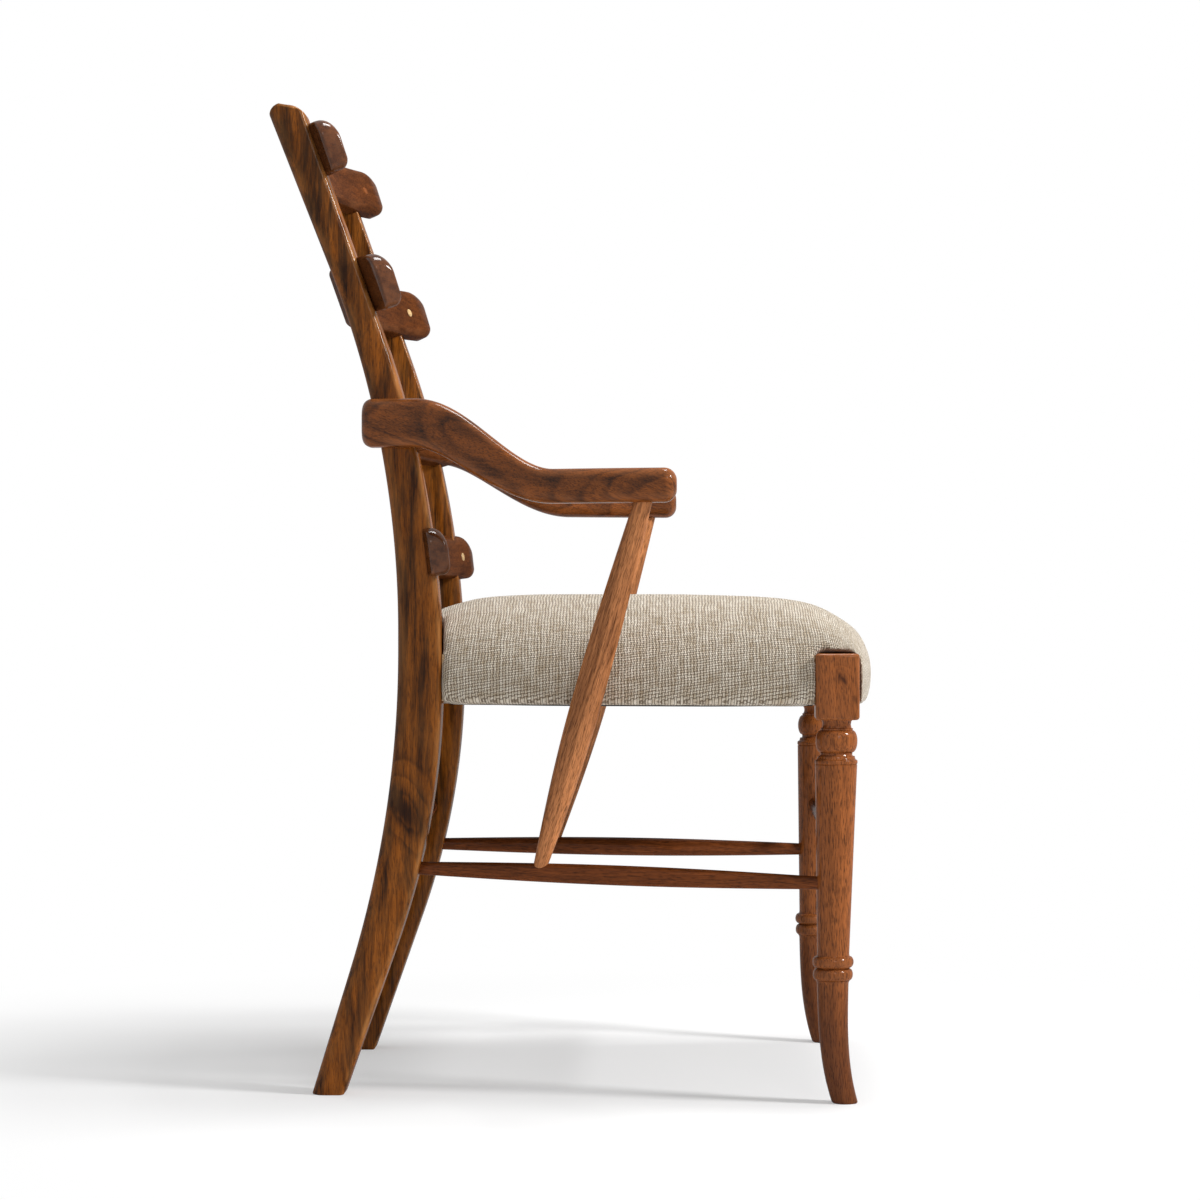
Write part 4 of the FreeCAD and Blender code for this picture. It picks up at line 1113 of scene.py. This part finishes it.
def wood_pieces():
    for side, sign in left_right:
        post_wood = lacquered_wood(side + "_post_wood", golden, near_black, rubbed_and_lit_gold, (0, 0, 1),
                                   (0.17 * sign, -0.10, 0.4 * sign), rings=120.0, ring_depth=0.45,
                                   streaks=0.62, wear_and_highlight=0.75, coat=0.20, knot_size=0.030,
                                   knot=(0.383 * sign, 0.080, 0.305 + 0.4 * sign))
        shaped_piece(side + "_back_post", post_wood, "frame_wood", sided(post_loops(), sign))
        arm_wood = lacquered_wood(side + "_arm_wood", plum_brown, plum_black, rubbed_and_lit_red, (0, 1, 0.28),
                                  (0.31 * sign, 0.62, 0.3), rings=80.0, ring_depth=0.62, streaks=0.4,
                                  pores=0.6, wear_and_highlight=0.6, swirl=0.10, coat=0.36)
        shaped_piece(side + "_arm", arm_wood, "slat_wood", sided(arm_loops(), sign))
        # the legs get painted shade towards the floor
        leg_wood = lacquered_wood(side + "_leg_wood", chestnut, deep_brown, rubbed_and_lit_red, (0, 0.0157, 1),
                                  (-0.02, 0.16, 0.2 * sign), rings=210.0, streaks=0.26, pores=0.7,
                                  wear_and_highlight=0.4, coat=0.28, painted_foot_shade=0.6, knot_size=0.008,
                                  knot=(0.285 * sign - 0.02, -0.129, 0.437 + 0.2 * sign))
        shaped_piece(side + "_front_leg", leg_wood, "frame_wood", sided(leg_loops(), sign),
                     sided(block_loops(), sign))
    for index, (name, z, height, bow, proud) in enumerate(slats):
        slat_wood = lacquered_wood(name + "_wood", slat_brown, plum_black, rubbed_and_lit_red, (1, 0, 0),
                                   (0.55 + z * mm, 0.09, 0.37 * index), rings=130.0, streaks=0.4,
                                   wear_and_highlight=0.3, coat=0.05, tip_polish=0.5)
        shaped_piece(name, slat_wood, "slat_wood", slat_loops(name, z, height, bow, proud))


def turned_pieces():
    cross_wood = lacquered_wood("cross_stretcher_wood", dusky_chestnut, deep_brown, rubbed_and_lit_red, (1, 0, 0),
                                (0.3, 0.2, 0.1), rings=240.0, streaks=0.4, wear_and_highlight=0.3)
    z = cross_stretcher_z
    for name, reach, y in (("front_stretcher", front_stretcher_reach, leg_y(z)),
                           ("back_stretcher", back_stretcher_reach, (post_front(z) + post_rear(z)) / 2)):
        rod = swelled_rod(name + "_turned", (-reach, y, z), (reach, y, z), cross_stretcher_radii,
                          stretcher_belly_share, cross_wood)
        dress(rod, cross_wood, "frame_wood", name)
    front_y = leg_y(side_stretcher_front_z) + leg_shaft_radius
    rear = Vector((post_centre_x, post_front(side_stretcher_rear_z), side_stretcher_rear_z))
    front = Vector((leg_centre_x, front_y, side_stretcher_front_z))
    along = (front - rear).normalized()
    low = rear + (front - rear) * ((rear.y - support_low_y) / (rear.y - front.y))
    under_z = arm_mid_z(support_high_y) - arm_height(support_high_y) / 2
    high = Vector((arm_centre_x(support_high_y), support_high_y, under_z))
    way = (high - low).normalized()
    rear, front = rear - along * side_stretcher_socket, front + along * side_stretcher_socket
    low, high = low - way * support_low_socket, high + way * support_high_socket
    for side, sign in left_right:
        for kind, wood_name, ends, radii, belly_share, pale, heart, rings in (
                ("_side_stretcher", "_stretcher_wood", (rear, front), side_stretcher_radii,
                 stretcher_belly_share, dusky_chestnut, (0.2, 0.15 * sign, 0.1), 240.0),
                ("_arm_support", "_support_wood", (low, high), support_radii,
                 support_belly_share, pale_chestnut, (0.1, 0.19 * sign, 0.5), 220.0)):
            start, end = [Vector((sign * place.x, place.y, place.z)) for place in ends]
            wood = lacquered_wood(side + wood_name, pale, deep_brown, rubbed_and_lit_red, end - start, heart,
                                  rings=rings, streaks=0.4, wear_and_highlight=0.3)
            name = side + kind
            rod = swelled_rod(name + "_turned", start, end, radii, belly_share, wood)
            dress(rod, wood, "frame_wood", name)


def small_pieces():
    pale_peg = lacquered_wood("pale_peg_wood", (0.62, 0.42, 0.20, 1), (0.34, 0.20, 0.09, 1), rubbed_and_lit_gold,
                              (0, 1, -0.3), (0.2, 0.1, 0.1), rings=300.0, streaks=0.3, wear_and_highlight=0.0)
    dark_peg = lacquered_wood("dark_peg_wood", plum_brown, plum_black, rubbed_and_lit_red, (0, 1, -0.4),
                              (0.1, 0.2, 0.3), rings=300.0, streaks=0.4, wear_and_highlight=0.0)
    for name, wood, names in (("pale_slat_pegs", pale_peg, ("lumbar_slat", "middle_slat", "upper_slat")),
                              ("top_slat_pegs", dark_peg, ("top_slat",))):
        dress(peg_piece(name, names, wood), wood, "peg_wood", "slat_pegs")


def seat_piece():
    cloth = slub_cloth()
    seat = dress(padded_seat(), cloth, "seat_cloth", "seat_cover", "seat_foam")
    black_cloth = plain_weave("black_dust_cloth", (0.030, 0.030, 0.032, 1), (0.008, 0.008, 0.009, 1),
                              0.0012)
    under = dress(loft("dust_cloth", dust_cloth_loops()), black_cloth, "dust_cloth", "dust_cover")


def hidden_pieces():
    """Finishes for the CAD pieces that stay as they are, inside and under the seat."""
    raw_wood = lacquered_wood("raw_beech", (0.62, 0.44, 0.27, 1), (0.42, 0.27, 0.15, 1),
                              (0.7, 0.52, 0.34, 1), (1, 0, 0), (0.3, 0.2, 0.1), rings=180.0, streaks=0.25,
                              wear_and_highlight=0.0, coat=0.0)
    jute = plain_weave("jute_webbing", (0.42, 0.33, 0.22, 1), (0.16, 0.11, 0.07, 1), 0.0025)
    steel = brushed_steel()
    finishes = {"corner_block_screws": steel, "lengthwise_webbing": jute, "crosswise_webbing": jute}
    for name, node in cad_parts.items():
        if not node.hide_render:
            node.data.materials.clear()
            node.data.materials.append(finishes.get(name, raw_wood))


# Stage, light and camera


def seen_directly(tree):
    """1 for what the camera sees, also in a gloss or through glass, and 0 for other light."""
    seen = add(tree, "ShaderNodeLightPath").outputs
    direct = calc(tree, "MAXIMUM", seen["Is Camera Ray"], seen["Is Glossy Ray"])
    return calc(tree, "MAXIMUM", direct, seen["Is Transmission Ray"])


def mix_surface(tree, factor, first, second, output):
    mixed = add(tree, "ShaderNodeMixShader", {0: factor, 1: first.outputs[0], 2: second.outputs[0]})
    set_inputs(tree, tree.nodes[output], {"Surface": mixed.outputs[0]})


def floor_material():
    """A pale floor that keeps the chair's shadow and fades to white away from it."""
    material, tree, shader = material_tree("studio_floor")
    set_inputs(tree, shader, {"Base Color": (0.90, 0.90, 0.90, 1), "Roughness": 0.75,
                              "Specular IOR Level": 0.1})
    fade = plus_share(tree, 0.35, ramp(tree, length(tree, object_place(tree)), 0.45, 1.15), 0.65)
    white = add(tree, "ShaderNodeEmission", {"Color": (1, 1, 1, 1), "Strength": 1.0})
    mix_surface(tree, times(tree, fade, seen_directly(tree)), shader, white, "Material Output")
    return material


def floor_piece():
    mesh = bpy.data.meshes.new("studio_floor")
    reach = 12.0
    mesh.from_pydata([(-reach, -reach, 0), (reach, -reach, 0), (reach, reach, 0), (-reach, reach, 0)], [],
                     [(0, 1, 2, 3)])
    mesh.materials.append(floor_material())
    link_piece("studio_floor", mesh)


def studio_world():
    """A soft white room, seen as plain white."""
    world = bpy.data.worlds.new("studio_world")
    bpy.context.scene.world = world
    world.use_nodes = True
    tree = world.node_tree
    soft = tree.nodes["Background"]
    set_inputs(tree, soft, {"Color": (1, 1, 1, 1), "Strength": 0.27})
    white = add(tree, "ShaderNodeBackground", {"Color": (1, 1, 1, 1), "Strength": 1.0})
    mix_surface(tree, seen_directly(tree), soft, white, "World Output")


def stand(name, data, place, way):
    """Stand a lamp or the camera at a place, facing some way."""
    stood = link_piece(name, data)
    stood.location = place
    stood.rotation_euler = way.to_track_quat("-Z", "Y").to_euler()
    return stood


def softbox(name, place, size, power):
    """A square lamp that faces the middle of the chair."""
    light = bpy.data.lights.new(name, "AREA")
    light.shape = "RECTANGLE"
    light.size = size
    light.size_y = size
    light.energy = power
    stand(name, light, place, Vector((0, 0, 0.5)) - Vector(place))


def studio():
    bpy.context.scene.view_settings.view_transform = "Standard"
    floor_piece()
    studio_world()
    softbox("key_light", (-1.05, -2.6, 2.3), 0.6, 98)
    softbox("top_light", (0.1, -0.3, 3.0), 0.8, 48)
    softbox("side_light", (-3.4, -0.9, 1.9), 0.8, 10)
    lens = bpy.data.cameras.new("camera")
    lens.sensor_width = 36.0
    lens.lens = 107.55
    look = Vector((1.0, math.tan(math.radians(1.1666)), math.tan(math.radians(0.112))))
    place = (-4.0, (floor_shift - 106) * mm, 0.5163)
    bpy.context.scene.camera = stand("camera", lens, place, look)


wood_pieces()
turned_pieces()
small_pieces()
seat_piece()
hidden_pieces()
studio()
